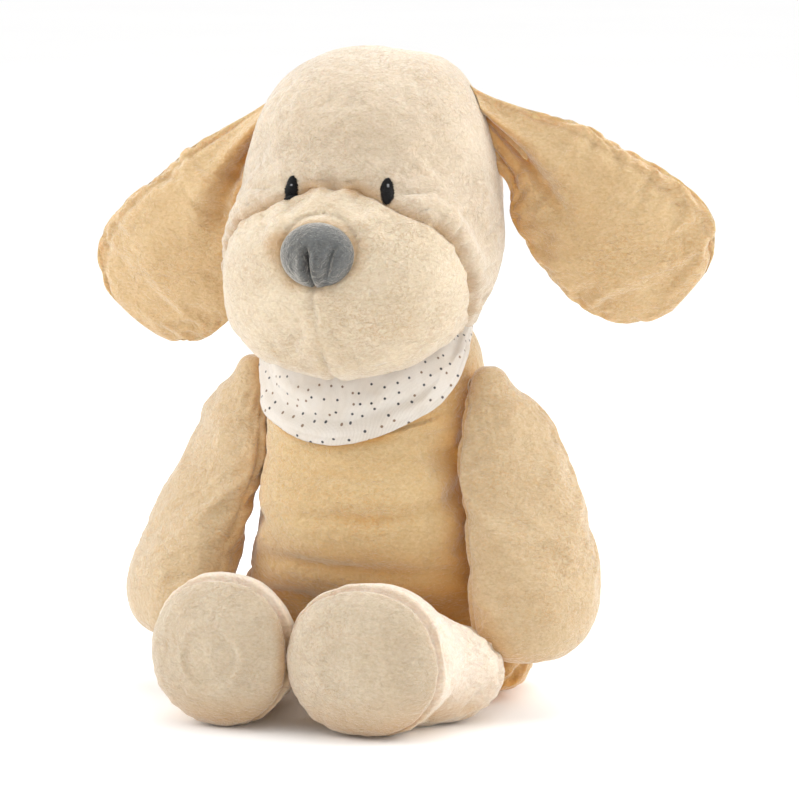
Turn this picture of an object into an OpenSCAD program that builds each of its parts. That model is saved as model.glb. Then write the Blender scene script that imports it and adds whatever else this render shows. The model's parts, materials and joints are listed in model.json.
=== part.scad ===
// Seated plush dog with floppy ears, stuffed limbs and a dotted neckerchief.
// The dog faces -Y, its own left is +X, and it sits on z = 0.

/* [Whole toy] */
// Height of the torso's ball, which is the pivot of the neck
neck_pivot_z = 133.5; // [130:0.5:137]
// Radius of the rounded top of the torso, which the head sits on
torso_ball_r = 50; // [49:0.5:51]
// Thickness of the plush fabric with its pile
fabric = 2.4; // [1.6:0.2:3]
// Lean of the neck towards the front
neck_lean = 22; // [16:1:26]
// Depth offset that centres the toy on its origin
centre_y = 21.5; // [16:0.5:26]
// Sideways offset that centres the toy on its origin
centre_x = -2.5; // [-6:0.5:6]

/* [Head] */
// Turn of the head to the dog's left
head_turn = 2.5; // [-10:1:10]
// Width of the nose
nose_w = 30; // [24:1:34]
// Height of the nose
nose_h = 26; // [20:1:30]
// Height of an embroidered eye
eye_h = 10.5; // [8:0.5:12]
// Width of an embroidered eye
eye_w = 5.6; // [4:0.2:7]

/* [Ears] */
// Length of an ear from root to tip
ear_length = 101; // [100:1:116]
// Half the greatest width of an ear
ear_half_w = 34; // [28:1:35]
// Droop of the left ear below the horizontal
ear_droop_left = 39; // [20:1:45]
// Droop of the right ear below the horizontal
ear_droop_right = 50; // [20:1:50]
// Backward sweep of the left ear
ear_sweep_left = 12; // [0:1:15]
// Backward sweep of the right ear
ear_sweep_right = 2; // [0:1:15]

/* [Arms] */
// Outward lean of an arm
arm_lean = 0; // [-4:0.5:8]
// Forward lean of an arm
arm_forward = 0; // [-4:0.5:8]
// Turn of the arm's broad face towards the front
arm_face = 38; // [28:1:44]

/* [Legs] */
// Width between the two hip pivots
hip_w = 78; // [74:1:80]
// Height of a foot
foot_h = 64; // [56:1:64]

/* [Neckerchief] */
// Thickness of the folded muslin
muslin = 1.6; // [1:0.2:2]
// Polar angle of the neckerchief's point from the neck's axis
kerchief_point = 83; // [76:1:86]

/* [Hidden] */

LEFT = 1;
RIGHT = -1;
EPS = 0.01;
seam_gap = 0.25;          // between two panels sewn edge to edge

cream = [0.93, 0.84, 0.70];
cream_deep = [0.91, 0.79, 0.60];
cream_pale = [0.95, 0.89, 0.80];
fibre = [0.96, 0.96, 0.94];
grey = [0.42, 0.43, 0.44];
black = [0.06, 0.05, 0.05];
muslin_white = [0.93, 0.91, 0.87];
thread = [0.93, 0.87, 0.76];

neck_pivot = [0, 8, neck_pivot_z];
neck_axis = [0, -sin(neck_lean), cos(neck_lean)];

// ---------- vector and curve helpers ----------

function unit(v) = v / norm(v);
function mix(a, b, t) = a + (b - a) * t;
function smooth(t) = let (s = max(0, min(1, t))) s * s * (3 - 2 * s);
function signed_power(c, e) = sign(c) * pow(abs(c), e);
function last(list) = list[len(list) - 1];
function reverse(list) = [for (i = [len(list) - 1 : -1 : 0]) list[i]];

// Catmull-Rom curve through rows of numbers, at u from 0 to len(rows) - 1.
function spline(rows, u) =
    let (
        n = len(rows) - 1,
        i = max(0, min(floor(u), n - 1)),
        t = u - i,
        p0 = rows[max(i - 1, 0)],
        p1 = rows[i],
        p2 = rows[i + 1],
        p3 = rows[min(i + 2, n)]
    )
    (2 * p1 + (p2 - p0) * t + (2 * p0 - 5 * p1 + 4 * p2 - p3) * t * t
        + (3 * p1 - p0 - 3 * p2 + p3) * t * t * t) / 2;

// A stuffed form is a row of stations [x, y, z, tilt, half width, front depth, back depth, squareness].
// form_point gives its surface at station u and angle a, where 270 is the front.
function form_point(rows, u, a) =
    let (
        s = spline(rows, u),
        c = signed_power(cos(a), s[7]),
        d = signed_power(sin(a), s[7]),
        depth = d > 0 ? s[6] : s[5]
    )
    [s[0] + s[4] * c, s[1] + depth * d * cos(s[3]), s[2] + depth * d * sin(s[3])];

// Outward normal of the form, by small steps along and round it.
function form_normal(rows, u, a) =
    let (
        n = len(rows) - 1,
        up = form_point(rows, min(u + 0.05, n - 0.02), a) - form_point(rows, max(u - 0.05, 0.02), a),
        round_it = form_point(rows, u, a + 2) - form_point(rows, u, a - 2)
    )
    unit(cross(round_it, up));

// The form's surface moved inwards by depth.
function inner_point(rows, u, a, depth) =
    form_point(rows, u, a) - depth * form_normal(rows, u, a);

// Rings of a form from station u0 to u1, moved inwards by depth.
function form_rings(rows, u0, u1, steps, sides, depth = 0) =
    [for (i = [0 : steps]) let (u = mix(u0, u1, i / steps))
        [for (k = [0 : sides - 1]) inner_point(rows, u, 360 * k / sides, depth)]];

function ring_centre(ring) = [for (axis = [0 : 2]) ring_sum(ring, axis) / len(ring)];
function ring_sum(ring, axis, k = 0) = k == len(ring) ? 0 : ring[k][axis] + ring_sum(ring, axis, k + 1);

// ---------- solids from points ----------

// Closed solid over a stack of rings, with a point at each end.
module skin(rings, start, end) {
    n = len(rings[0]);
    m = len(rings);
    points = concat([for (ring = rings) each ring], [start, end]);
    first_pole = m * n;
    last_pole = m * n + 1;
    sides = [for (i = [0 : m - 2], k = [0 : n - 1])
        let (a = i * n + k, b = i * n + (k + 1) % n, c = a + n, d = b + n)
        each [[a, c, d], [a, d, b]]];
    start_fan = [for (k = [0 : n - 1]) [first_pole, k, (k + 1) % n]];
    end_fan = [for (k = [0 : n - 1]) let (o = (m - 1) * n) [last_pole, o + (k + 1) % n, o + k]];
    polyhedron(points, concat(sides, start_fan, end_fan), convexity = 6);
}

// Closed solid between two matching open grids of points.
module quilt(outer, inner) {
    m = len(outer) - 1;
    n = len(outer[0]) - 1;
    base = (m + 1) * (n + 1);
    points = concat([for (row = outer) each row], [for (row = inner) each row]);
    function p(i, j) = i * (n + 1) + j;
    function q(i, j) = base + i * (n + 1) + j;
    faces = [for (i = [0 : m - 1], j = [0 : n - 1]) each [
        [p(i, j), p(i + 1, j), p(i + 1, j + 1)], [p(i, j), p(i + 1, j + 1), p(i, j + 1)],
        [q(i, j), q(i + 1, j + 1), q(i + 1, j)], [q(i, j), q(i, j + 1), q(i + 1, j + 1)]]];
    ends = [for (j = [0 : n - 1]) each [
        [p(0, j), p(0, j + 1), q(0, j + 1)], [p(0, j), q(0, j + 1), q(0, j)],
        [p(m, j + 1), p(m, j), q(m, j)], [p(m, j + 1), q(m, j), q(m, j + 1)]]];
    edges = [for (i = [0 : m - 1]) each [
        [p(i + 1, 0), p(i, 0), q(i, 0)], [p(i + 1, 0), q(i, 0), q(i + 1, 0)],
        [p(i, n), p(i + 1, n), q(i + 1, n)], [p(i, n), q(i + 1, n), q(i, n)]]];
    polyhedron(points, concat(faces, ends, edges), convexity = 6);
}

// Fabric tube closed at its far end and open at the start, with an even wall.
module pouch(rows, u0, u1, steps, sides, wall) {
    n = len(rows) - 1;
    outer = form_rings(rows, u0, u1, steps, sides);
    inner = form_rings(rows, u0, u1, steps, sides, wall);
    tip = spline(rows, n);
    far = [tip[0], tip[1], tip[2]];
    near = ring_centre(last(outer));
    skin(concat(reverse(inner), outer), far - wall * unit(far - near), far);
}

// Filling of such a tube, closed at both ends.
module filling(rows, u0, u1, steps, sides, depth) {
    n = len(rows) - 1;
    rings = form_rings(rows, u0, u1, steps, sides, depth);
    tip = spline(rows, n);
    far = [tip[0], tip[1], tip[2]];
    near = ring_centre(last(rings));
    skin(rings, ring_centre(rings[0]), far - depth * unit(far - near));
}

// A ring of sewing thread round an axis at a point.
module thread_ring(centre, axis, radius, wire) {
    translate(centre)
        rotate([0, acos(axis[2] / norm(axis)), atan2(axis[1], axis[0])])
            rotate_extrude($fn = 32) translate([radius, 0]) circle(r = wire, $fn = 10);
}

// Keeps a point outside the ball of the given radius round the neck pivot.
function outside_ball(p, radius) =
    let (v = p - neck_pivot, d = norm(v))
    d < radius ? neck_pivot + v * radius / d : p;

module at_origin() {
    translate([centre_x, centre_y, 0]) children();
}

module on_side(side) {
    at_origin() mirror([side == LEFT ? 0 : 1, 0, 0]) children();
}

// ---------- torso ----------

torso_floor = 2.6;        // height where the side panels meet the seat panel
seat_a = 46;              // half width of the seat panel
seat_front = 14;
seat_back = 50;

// Stations from the seat up to the neck opening.
TORSO = [
    [0, 0, 2.6, 0, 50, 15.5, 51, 0.90],
    [0, 0, 8, 0, 60, 18.5, 59, 0.92],
    [0, 0, 22, 0, 64.5, 21, 63, 0.94],
    [0, 0, 40, 0, 64, 26, 62, 0.95],
    [0, 0, 56, 0, 61.5, 40, 60, 0.96],
    [0, 0, 74, 0, 58, 48, 57, 0.97],
    [0, 1, 94, 1, 54.5, 49.5, 54, 0.98],
    [0, 4, 114, 3, 51, 46, 51, 1],
    [0, 6, 130, 8, 49.8, 47.4, 50, 1],
    [0, 3.6, 144.5, 18, 48.4, 48.4, 48.4, 1],
    [0, 0, 153.5, 22, 44.8, 44.8, 44.8, 1],
    [0, -4.2, 163.6, 22, 38, 38, 38, 1]
];
torso_top = len(TORSO) - 1;
torso_sides = 28;
torso_steps = 15;

// Half of the torso's fabric, from one side seam to the other: the front spans 180 to 360 degrees.
module torso_panel(a0, a1) {
    cols = torso_sides / 2;
    turn = 0.25;          // degrees between the panels at the side seam
    function angle(j) = mix(a0 + turn, a1 - turn, j / cols);
    at_origin() quilt(
        [for (i = [0 : torso_steps]) [for (j = [0 : cols])
            form_point(TORSO, torso_top * i / torso_steps, angle(j))]],
        [for (i = [0 : torso_steps]) [for (j = [0 : cols])
            inner_point(TORSO, torso_top * i / torso_steps, angle(j), fabric)]]
    );
}

module torso_front_cover() {
    color(cream_deep) torso_panel(180, 360);
}

module torso_back_cover() {
    color(cream_deep) torso_panel(0, 180);
}

module seat_panel() {
    rim = [for (k = [0 : 35]) let (a = 10 * k, d = sin(a) > 0 ? seat_back : seat_front)
        [seat_a * cos(a), d * sin(a)]];
    color(cream_deep) at_origin() linear_extrude(height = torso_floor - seam_gap) polygon(rim);
}

pellet_top = 17;          // height of the pellet bag's flat top

module seat_pellet_bag() {
    rim = [for (k = [0 : 31]) let (a = 360 * k / 32, d = sin(a) > 0 ? seat_back - 6 : seat_front - 4)
        [(seat_a - 4) * cos(a), d * sin(a)]];
    color("white") at_origin() translate([0, 0, torso_floor + 0.2])
        linear_extrude(height = pellet_top - torso_floor - 0.2) polygon(rim);
}

module torso_stuffing() {
    depth = fabric + 1;
    u0 = 1.75;            // station just over the pellet bag
    rings = form_rings(TORSO, u0, torso_top - 0.1, 14, torso_sides, depth);
    crown = neck_pivot + (torso_ball_r - fabric - 1) * neck_axis;
    color(fibre) at_origin() skin(rings, ring_centre(rings[0]), crown);
}

// Hand-sewn ladder stitches that close the back after filling.
module closing_stitches() {
    color(thread) at_origin() for (k = [0 : 8]) {
        z = 52 + 4 * k;
        row = spline(TORSO, stitch_station(z));
        translate([-1.6, row[1] + row[6] + 0.6, z]) rotate([0, 90, 0]) cylinder(h = 3.2, r = 0.35, $fn = 16);
    }
}

// Station of the torso at height z on its back, found by halving.
function stitch_station(z, lo = 2, hi = 8, n = 0) =
    n > 14 ? (lo + hi) / 2 :
    let (mid = (lo + hi) / 2) spline(TORSO, mid)[2] < z
        ? stitch_station(z, mid, hi, n + 1) : stitch_station(z, lo, mid, n + 1);

module care_label() {
    color("white") at_origin() translate([-36, 51.8, 11]) rotate([0, 0, 37])
        translate([-9, 0.6, 0]) cube([18, 7, 0.5]);
}

// ---------- neck ----------

module neck_stitching() {
    r = torso_ball_r + 0.8;
    ring_r = 16;
    color(thread) at_origin()
        thread_ring(neck_pivot + sqrt(r * r - ring_r * ring_r) * neck_axis, neck_axis, ring_r, 0.4);
}

// ---------- head ----------

// Stations from the neck opening up to the crown.
HEAD = [
    [0, -5, 164.6, 22, 37.2, 37.2, 37.2, 1],
    [0, -9.5, 166, 21, 44, 45, 43, 0.98],
    [0, -12, 169.5, 19, 51, 52.5, 50.5, 0.95],
    [0, -13, 179.5, 15, 56, 58, 56, 0.93],
    [0, -11.5, 191.5, 9, 58.4, 60.5, 61, 0.92],
    [0, -9, 203.5, 4, 59.2, 61, 63, 0.92],
    [0, -5.5, 215, 0, 58.8, 59.6, 62.5, 0.92],
    [0, 0, 226, 0, 58, 55, 60, 0.92],
    [0, 2.5, 238, 0, 56, 52, 56.5, 0.93],
    [0, 4, 252, 0, 52, 49.5, 51.5, 0.94],
    [0, 6, 266, 0, 44.5, 43.5, 43, 0.95],
    [0, 8.5, 277, 0, 33, 33, 31, 0.97],
    [0, 10, 283.4, 0, 16, 16, 15, 1],
    [0, 10.5, 285, 0, 0, 0, 0, 1]
];
head_top = len(HEAD) - 1;
head_sides = 36;
muzzle_half = 90;          // half angle that the muzzle panel spans

module head_place() {
    at_origin() translate(neck_pivot) rotate([0, 0, head_turn]) translate(-neck_pivot) children();
}

kerchief_clear = 5.4;       // radius beyond the torso ball that the head keeps free

// Muzzle seam: angle off the front, station of the seam there.
MUZZLE_SEAM = [[0, 7.25], [10, 7.2], [20, 6.9], [30, 6.45], [40, 6.1], [50, 5.8], [60, 5.3],
    [70, 4.3], [80, 2.4], [90, 0.06]];

// Station of the muzzle seam at angle a: high between the eyes, falling to the neck at the cheeks.
function seam_station(a, i = 0) =
    let (off = abs(a - 270), r = MUZZLE_SEAM)
    off >= 90 ? 0 :
    off > r[i + 1][0] ? seam_station(a, i + 1) :
    mix(r[i][1], r[i + 1][1], (off - r[i][0]) / (r[i + 1][0] - r[i][0]));

function head_outer(u, a) = outside_ball(form_point(HEAD, u, a), torso_ball_r + kerchief_clear);
function head_normal(u, a) =
    let (
        up = head_outer(min(u + 0.12, head_top - 0.02), a) - head_outer(max(u - 0.12, 0.01), a),
        round_it = head_outer(u, a + 2) - head_outer(u, a - 2)
    )
    unit(cross(round_it, up));
function head_inner(u, a, depth) = head_outer(u, a) - depth * head_normal(u, a);

module head_cover() {
    steps = 12;
    u_end = head_top - 0.45;
    gap = 0.05;
    function low(a) = seam_station(a) + gap;
    function grid(depth) = [for (i = [0 : steps]) [for (k = [0 : head_sides - 1])
        let (a = 360 * k / head_sides, u = mix(low(a), u_end, i / steps))
        depth == 0 ? head_outer(u, a) : head_inner(u, a, depth)]];
    crown = spline(HEAD, head_top);
    top = [crown[0], crown[1], crown[2]];
    color(cream) head_place()
        skin(concat(reverse(grid(fabric)), grid(0)), top - [0, 0, fabric], top);
}

module muzzle_cover() {
    cols = 18;
    rows = 9;
    gap = 0.05;
    span = muzzle_half;
    function angle(j) = 270 + mix(-span, span, j / cols);
    function station(i, j) = max(0.02, seam_station(angle(j)) - gap) * i / rows;
    color(cream_pale) head_place() quilt(
        [for (i = [0 : rows]) [for (j = [0 : cols]) head_outer(station(i, j), angle(j))]],
        [for (i = [0 : rows]) [for (j = [0 : cols]) head_inner(station(i, j), angle(j), fabric)]]
    );
}

module head_stuffing() {
    depth = fabric + 3.6;
    rings = [for (i = [0 : 12]) [for (k = [0 : head_sides - 1])
        head_inner(mix(0.9, head_top - 0.6, i / 12), 360 * k / head_sides, depth)]];
    floor_r = torso_ball_r + 7;
    crown = spline(HEAD, head_top);
    color(fibre) head_place()
        skin(rings, neck_pivot + floor_r * neck_axis, [crown[0], crown[1], crown[2] - depth]);
}

nose_z = 203;
nose_out = 9;             // how far the nose stands out of the muzzle

// Nose dome, seen along its own axis: stations from the muzzle outwards.
NOSE = [
    [0, 0, 0, 0, nose_w / 2 - 0.8, nose_h / 2 - 0.8, nose_h / 2 - 0.8, 1],
    [0, 0, 2, 0, nose_w / 2, nose_h / 2, nose_h / 2, 0.95],
    [0, 0, 4.5, 0, nose_w / 2 - 1, nose_h / 2 - 1, nose_h / 2 - 0.6, 0.95],
    [0, 0.6, 7.6, 0, nose_w / 2 - 4.5, nose_h / 2 - 4.5, nose_h / 2 - 4, 0.96],
    [0, 0.8, nose_out - 0.2, 0, nose_w / 4 - 1, nose_h / 4 - 1, nose_h / 4 - 1, 1],
    [0, 0.8, nose_out, 0, 0, 0, 0, 1]
];

module nose_place() {
    head_place() translate([0, -71, nose_z]) rotate([86, 0, 0]) children();
}

module nose_cover() {
    color(grey) nose_place() pouch(NOSE, 0.02, 4.4, 7, 18, 1.2);
}

module nose_stuffing() {
    color(fibre) nose_place() filling(NOSE, 0.2, 4.3, 5, 18, 1.2 + 0.35);
}

// Embroidered eye: a low satin-stitched oval lying on the face.
module eye(side) {
    a = 270 + side * 21;
    u = 7.28;
    p = form_point(HEAD, u, a);
    n = form_normal(HEAD, u, a);
    rim = 16;
    lift = 0.55;
    function loop(k, grow, out) = [for (j = [0 : rim - 1]) let (t = 360 * j / rim)
        [eye_w / 2 * grow * cos(t), eye_h / 2 * grow * sin(t), out]];
    color(black) head_place() translate(p)
        rotate([0, acos(n[2]), atan2(n[1], n[0])]) rotate([0, 0, 90])
            skin([loop(0, 0.92, lift), loop(1, 1, lift + 0.45), loop(2, 0.72, lift + 1.0)],
                [0, 0, lift], [0, 0, lift + 1.15]);
}

module eye_left() { eye(LEFT); }
module eye_right() { eye(RIGHT); }

// ---------- ears ----------

// The root follows the head's side between these two stations, at this angle round the head.
ear_root_high = 9.9;
ear_root_low = 7.35;
ear_root_angle = 9;
ear_root_out = 4.2;       // middle of the ear's root above the head's surface

function ear_root(v, out) =
    let (u = mix(ear_root_high, ear_root_low, (v + 1) / 2))
    form_point(HEAD, u, ear_root_angle) + out * form_normal(HEAD, u, ear_root_angle);

// Along the ear from its root to its tip.
EAR = [
    // run, upper edge, lower edge, half thickness, bend
    [0.00, 20, 15, 2.6, 0],
    [0.05, 22, 16, 3.6, 0.5],
    [0.14, 24.5, 18, 5, 1.5],
    [0.26, 28, 22.5, 6.2, 2.5],
    [0.42, 32, 28.5, 7, 3],
    [0.60, 35.5, 31.5, 7.2, 2.4],
    [0.76, 36, 31, 6.8, 0.8],
    [0.88, 32.5, 26.5, 6, -1.2],
    [0.96, 24, 18.5, 4.6, -3],
    [1.00, 12, 9, 2.2, -4]
];

// A point of the ear in the head's frame: u along it, v from -1 (upper edge) to 1 (lower edge), h in front.
function ear_point(side, u, v, h) =
    let (
        d = side == LEFT ? ear_droop_left : ear_droop_right,
        w = side == LEFT ? ear_sweep_left : ear_sweep_right,
        along = [cos(w) * cos(d), sin(w), -cos(w) * sin(d)],
        across = [-sin(d), 0, -cos(d)],
        front = [sin(w) * cos(d), -cos(w), -sin(w) * sin(d)],
        s = spline(EAR, u),
        free = smooth(s[0] / 0.3),
        middle = ear_root(0, ear_root_out),
        width = (v < 0 ? v * s[1] : v * s[2]) * ear_half_w / 34
    )
    middle + (1 - free) * (ear_root(v, ear_root_out) - middle) + s[0] * ear_length * along
        + free * width * across + (s[4] + h) * front;

// Thickness at a point of the ear as a share of the full one, full in the middle and low at the edge.
function ear_puff(u, v, low) =
    let (side = sqrt(max(0, 1 - v * v)), s = spline(EAR, u)) mix(low, s[3], side);

module on_side_head(side) {
    head_place() mirror([side == LEFT ? 0 : 1, 0, 0]) children();
}

ear_steps = 12;
ear_cols = 10;
ear_last = len(EAR) - 1;

function ear_skin(side, face, shrink, depth) =
    [for (i = [0 : ear_steps]) [for (j = [0 : ear_cols])
        let (u = ear_last * i / ear_steps, v = mix(-1, 1, j / ear_cols), full = max(0.9, ear_puff(u, v, 0.9)))
        ear_point(side, u, v * shrink,
            face * (depth ? max(0.12, full - mix(0.75, fabric, sqrt(max(0, 1 - v * v)))) : full))]];

module ear_panel(side, face) {
    color(cream) on_side_head(side)
        if (face > 0) quilt(ear_skin(side, 1, 1, false), ear_skin(side, 1, 0.985, true));
        else quilt(ear_skin(side, -1, 0.985, true), ear_skin(side, -1, 1, false));
}

module ear_pad(side) {
    function high(u, v) = max(0.2, ear_puff(u, v, 0.9) - mix(0.8, fabric, sqrt(max(0, 1 - v * v))) - 0.9);
    function half(face) = [for (i = [1 : ear_steps - 1]) [for (j = [0 : ear_cols])
        let (u = ear_last * i / ear_steps, v = mix(-0.8, 0.8, j / ear_cols))
        ear_point(side, u, v, face * high(u, v))]];
    color(fibre) on_side_head(side) quilt(half(1), half(-1));
}

// Stitches that hold the ear's root on the head.
module ear_stitches(side) {
    color(thread) on_side_head(side) for (v = [-0.8 : 0.4 : 0.81])
        translate(ear_root(v, 0.75)) rotate([90, 0, 0]) cylinder(h = 3.4, r = 0.3, center = true, $fn = 12);
}

module ear_left_front() { ear_panel(LEFT, 1); }
module ear_left_back() { ear_panel(LEFT, -1); }
module ear_left_padding() { ear_pad(LEFT); }
module ear_left_stitching() { ear_stitches(LEFT); }
module ear_right_front() { ear_panel(RIGHT, 1); }
module ear_right_back() { ear_panel(RIGHT, -1); }
module ear_right_padding() { ear_pad(RIGHT); }
module ear_right_stitching() { ear_stitches(RIGHT); }

// ---------- arms ----------

shoulder = [57.5, -6, 139.5];

// Down the arm from the shoulder; the form's width is the arm's broad face.
ARM = [
    [0, 0, -9, 0, 2, 2, 2, 1],
    [0, 0, -6.4, 0, 6.4, 5.6, 5.6, 1],
    [1, 1, 0, 4, 10, 8.2, 7.6, 1],
    [4, 4.5, 8, 10, 15.6, 10.4, 8.6, 0.98],
    [6, 8, 18, 16, 20.6, 12.4, 10.8, 0.96],
    [7, 13, 35, 20, 25, 15, 13.8, 0.95],
    [9.5, 20, 56, 20, 27.8, 17.8, 17, 0.95],
    [11, 26, 75, 16, 30, 19.6, 18.8, 0.95],
    [10.5, 30, 91, 10, 30.2, 19.6, 18.8, 0.95],
    [9, 32.5, 103.5, 6, 26, 17, 16, 0.96],
    [8, 33.5, 112, 2, 16.5, 11.2, 10.6, 0.98],
    [7.5, 34, 116, 0, 0, 0, 0, 1]
];
arm_top = len(ARM) - 1;

module arm_place(side) {
    on_side(side) translate(shoulder) rotate([0, -arm_lean, 0]) rotate([-arm_forward, 0, 0])
        rotate([0, 0, arm_face]) rotate([180, 0, 0]) children();
}

module arm_cover(side) {
    color(cream_deep) arm_place(side) pouch(ARM, 0.5, arm_top - 0.45, 13, 18, fabric);
}

module arm_stuffing(side) {
    color(fibre) arm_place(side) filling(ARM, 1.15, arm_top - 0.6, 13, 18, fabric + 0.7);
}

// Thread ring between the arm's rounded end and the torso.
module arm_stitching(side) {
    out = unit(shoulder - neck_pivot);
    color(thread) on_side(side) thread_ring(shoulder - 8.8 * out, out, 3.4, 0.3);
}

module arm_left_cover() { arm_cover(LEFT); }
module arm_left_stuffing() { arm_stuffing(LEFT); }
module arm_left_stitching() { arm_stitching(LEFT); }
module arm_right_cover() { arm_cover(RIGHT); }
module arm_right_stuffing() { arm_stuffing(RIGHT); }
module arm_right_stitching() { arm_stitching(RIGHT); }

// ---------- legs ----------

hip_r = 20;
hip = [hip_w / 2, -43, 21.5];
foot_r = foot_h / 2;

// From the hip's rounded end to the sole, along the leg.
LEG = [
    [0, 0, -20, 0, 3, 3, 3, 1],
    [0, 0, -17, 0, 10.4, 10.4, 10.4, 1],
    [0, 0, -9, 0, 17.8, 17.8, 17.8, 1],
    [-0.5, 1.5, 4, 0, 22, 21.4, 20, 0.98],
    [-3, 5, 18, 0, 26, 26, 24, 0.96],
    [-6, 10, 31, 0, 29.6, foot_r - 1.5, foot_r - 2.5, 0.95],
    [-7.8, 10.8, 41, 0, 30.8, foot_r - 0.7, foot_r - 0.7, 0.94],
    [-8.2, 10.8, 49, 0, 29.8, foot_r - 2, foot_r - 2, 0.94],
    [-8.4, 10.8, 56, 0, 24.8, foot_r - 7, foot_r - 7, 0.96],
    [-8.5, 10.8, 61.5, 0, 12, 12.4, 12.4, 0.98],
    [-8.5, 10.8, 63, 0, 0, 0, 0, 1]
];
leg_top = len(LEG) - 1;
sole_station = 6.7;       // station of the seam round the sole

module leg_place(side) {
    on_side(side) translate(hip) rotate([90, 0, 0]) children();
}

module leg_cover(side) {
    outer = form_rings(LEG, 0.5, sole_station - 0.02, 9, 20);
    inner = form_rings(LEG, 0.5, sole_station - 0.02, 9, 20, fabric);
    rim_gap = 0.02;
    color(cream_pale) leg_place(side) difference_free_tube(outer, inner);
}

// Tube of even wall, open at both ends.
module difference_free_tube(outer, inner) {
    n = len(outer[0]);
    m = len(outer);
    points = concat([for (ring = outer) each ring], [for (ring = inner) each ring]);
    base = m * n;
    faces = [for (i = [0 : m - 2], k = [0 : n - 1])
        let (a = i * n + k, b = i * n + (k + 1) % n, c = a + n, d = b + n)
        each [[a, c, d], [a, d, b], [base + a, base + d, base + c], [base + a, base + b, base + d]]];
    rims = [for (k = [0 : n - 1]) let (k1 = (k + 1) % n, o = (m - 1) * n) each [
        [k, k1, base + k1], [k, base + k1, base + k],
        [o + k1, o + k, base + o + k], [o + k1, base + o + k, base + o + k1]]];
    polyhedron(points, concat(faces, rims), convexity = 6);
}

module leg_sole(side) {
    color(cream_pale) leg_place(side) pouch(LEG, sole_station + 0.02, leg_top - 0.5, 5, 20, fabric);
}

module leg_stuffing(side) {
    color(fibre) leg_place(side) filling(LEG, 1, leg_top - 0.7, 12, 20, fabric + 0.7);
}

module leg_stitching(side) {
    color(thread) on_side(side) thread_ring(hip + [0, 19.8, 0], [0, 1, 0], 8, 0.4);
}

module leg_left_cover() { leg_cover(LEFT); }
module leg_left_sole() { leg_sole(LEFT); }
module leg_left_stuffing() { leg_stuffing(LEFT); }
module leg_left_stitching() { leg_stitching(LEFT); }
module leg_right_cover() { leg_cover(RIGHT); }
module leg_right_sole() { leg_sole(RIGHT); }
module leg_right_stuffing() { leg_stuffing(RIGHT); }
module leg_right_stitching() { leg_stitching(RIGHT); }

// ---------- neckerchief ----------

side_polar = 61;          // polar angle of the lower edge over the shoulders
tuck_polar = 41;          // polar angle of the upper edge, under the head
neck_front = cross([1, 0, 0], neck_axis);

// A point of the neckerchief: psi about the neck from the front, polar angle from the neck's axis.
function kerchief_at(psi, polar, r) =
    neck_pivot + r * (cos(polar) * neck_axis + sin(polar) * (sin(psi) * [1, 0, 0] + cos(psi) * neck_front));

// Lower edge: angle about the neck from the front, share of the drop from the sides to the point.
KERCHIEF_EDGE = [[-180, 0], [-110, 0], [-82, 0.1], [-62, 0.55], [-40, 0.9], [-12, 1], [8, 0.95], [28, 0.66],
    [50, 0.3], [75, 0.08], [100, 0], [181, 0]];

function kerchief_low(psi, i = 0) =
    let (t = psi > 180 ? psi - 360 : psi, e = KERCHIEF_EDGE)
    t > e[i + 1][0] ? kerchief_low(psi, i + 1) :
    side_polar + (kerchief_point - side_polar)
        * mix(e[i][1], e[i + 1][1], smooth((t - e[i][0]) / (e[i + 1][0] - e[i][0])));

module neckerchief() {
    steps = 5;
    sides = 40;
    r_in = torso_ball_r + 0.9;
    // The lower edge stands out a little from the chest.
    function ring(i, out) = [for (k = [0 : sides - 1])
        let (psi = 360 * k / sides, polar = mix(tuck_polar, kerchief_low(psi), i / steps))
        kerchief_at(psi, polar, r_in + out + 0.007 * pow(max(0, polar - 70), 2))];
    outer = [for (i = [steps : -1 : 0]) ring(i, muslin + 0.5 * i / steps)];
    inner = [for (i = [steps : -1 : 0]) ring(i, 0)];
    color(muslin_white) at_origin() difference_free_tube(outer, inner);
}

module neckerchief_tack() {
    psi = 180;
    color(thread) at_origin() for (k = [-1 : 1])
        translate(kerchief_at(psi, 54 + 3.4 * k, torso_ball_r + 0.9 + muslin + 0.85))
            rotate([0, 90, 0]) cylinder(h = 4, r = 0.3, center = true, $fn = 16);
}

// ---------- nodes ----------

torso_front_cover();
torso_back_cover();
seat_panel();
torso_stuffing();
seat_pellet_bag();
closing_stitches();
care_label();
neck_stitching();
head_cover();
muzzle_cover();
head_stuffing();
nose_cover();
nose_stuffing();
eye_left();
eye_right();
ear_left_front();
ear_left_back();
ear_left_padding();
ear_left_stitching();
ear_right_front();
ear_right_back();
ear_right_padding();
ear_right_stitching();
arm_left_cover();
arm_left_stuffing();
arm_left_stitching();
arm_right_cover();
arm_right_stuffing();
arm_right_stitching();
leg_left_cover();
leg_left_sole();
leg_left_stuffing();
leg_left_stitching();
leg_right_cover();
leg_right_sole();
leg_right_stuffing();
leg_right_stitching();
neckerchief();
neckerchief_tack();
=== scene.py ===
import json
import math

import bpy
import numpy as np
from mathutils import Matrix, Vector
from mathutils.bvhtree import BVHTree


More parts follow.
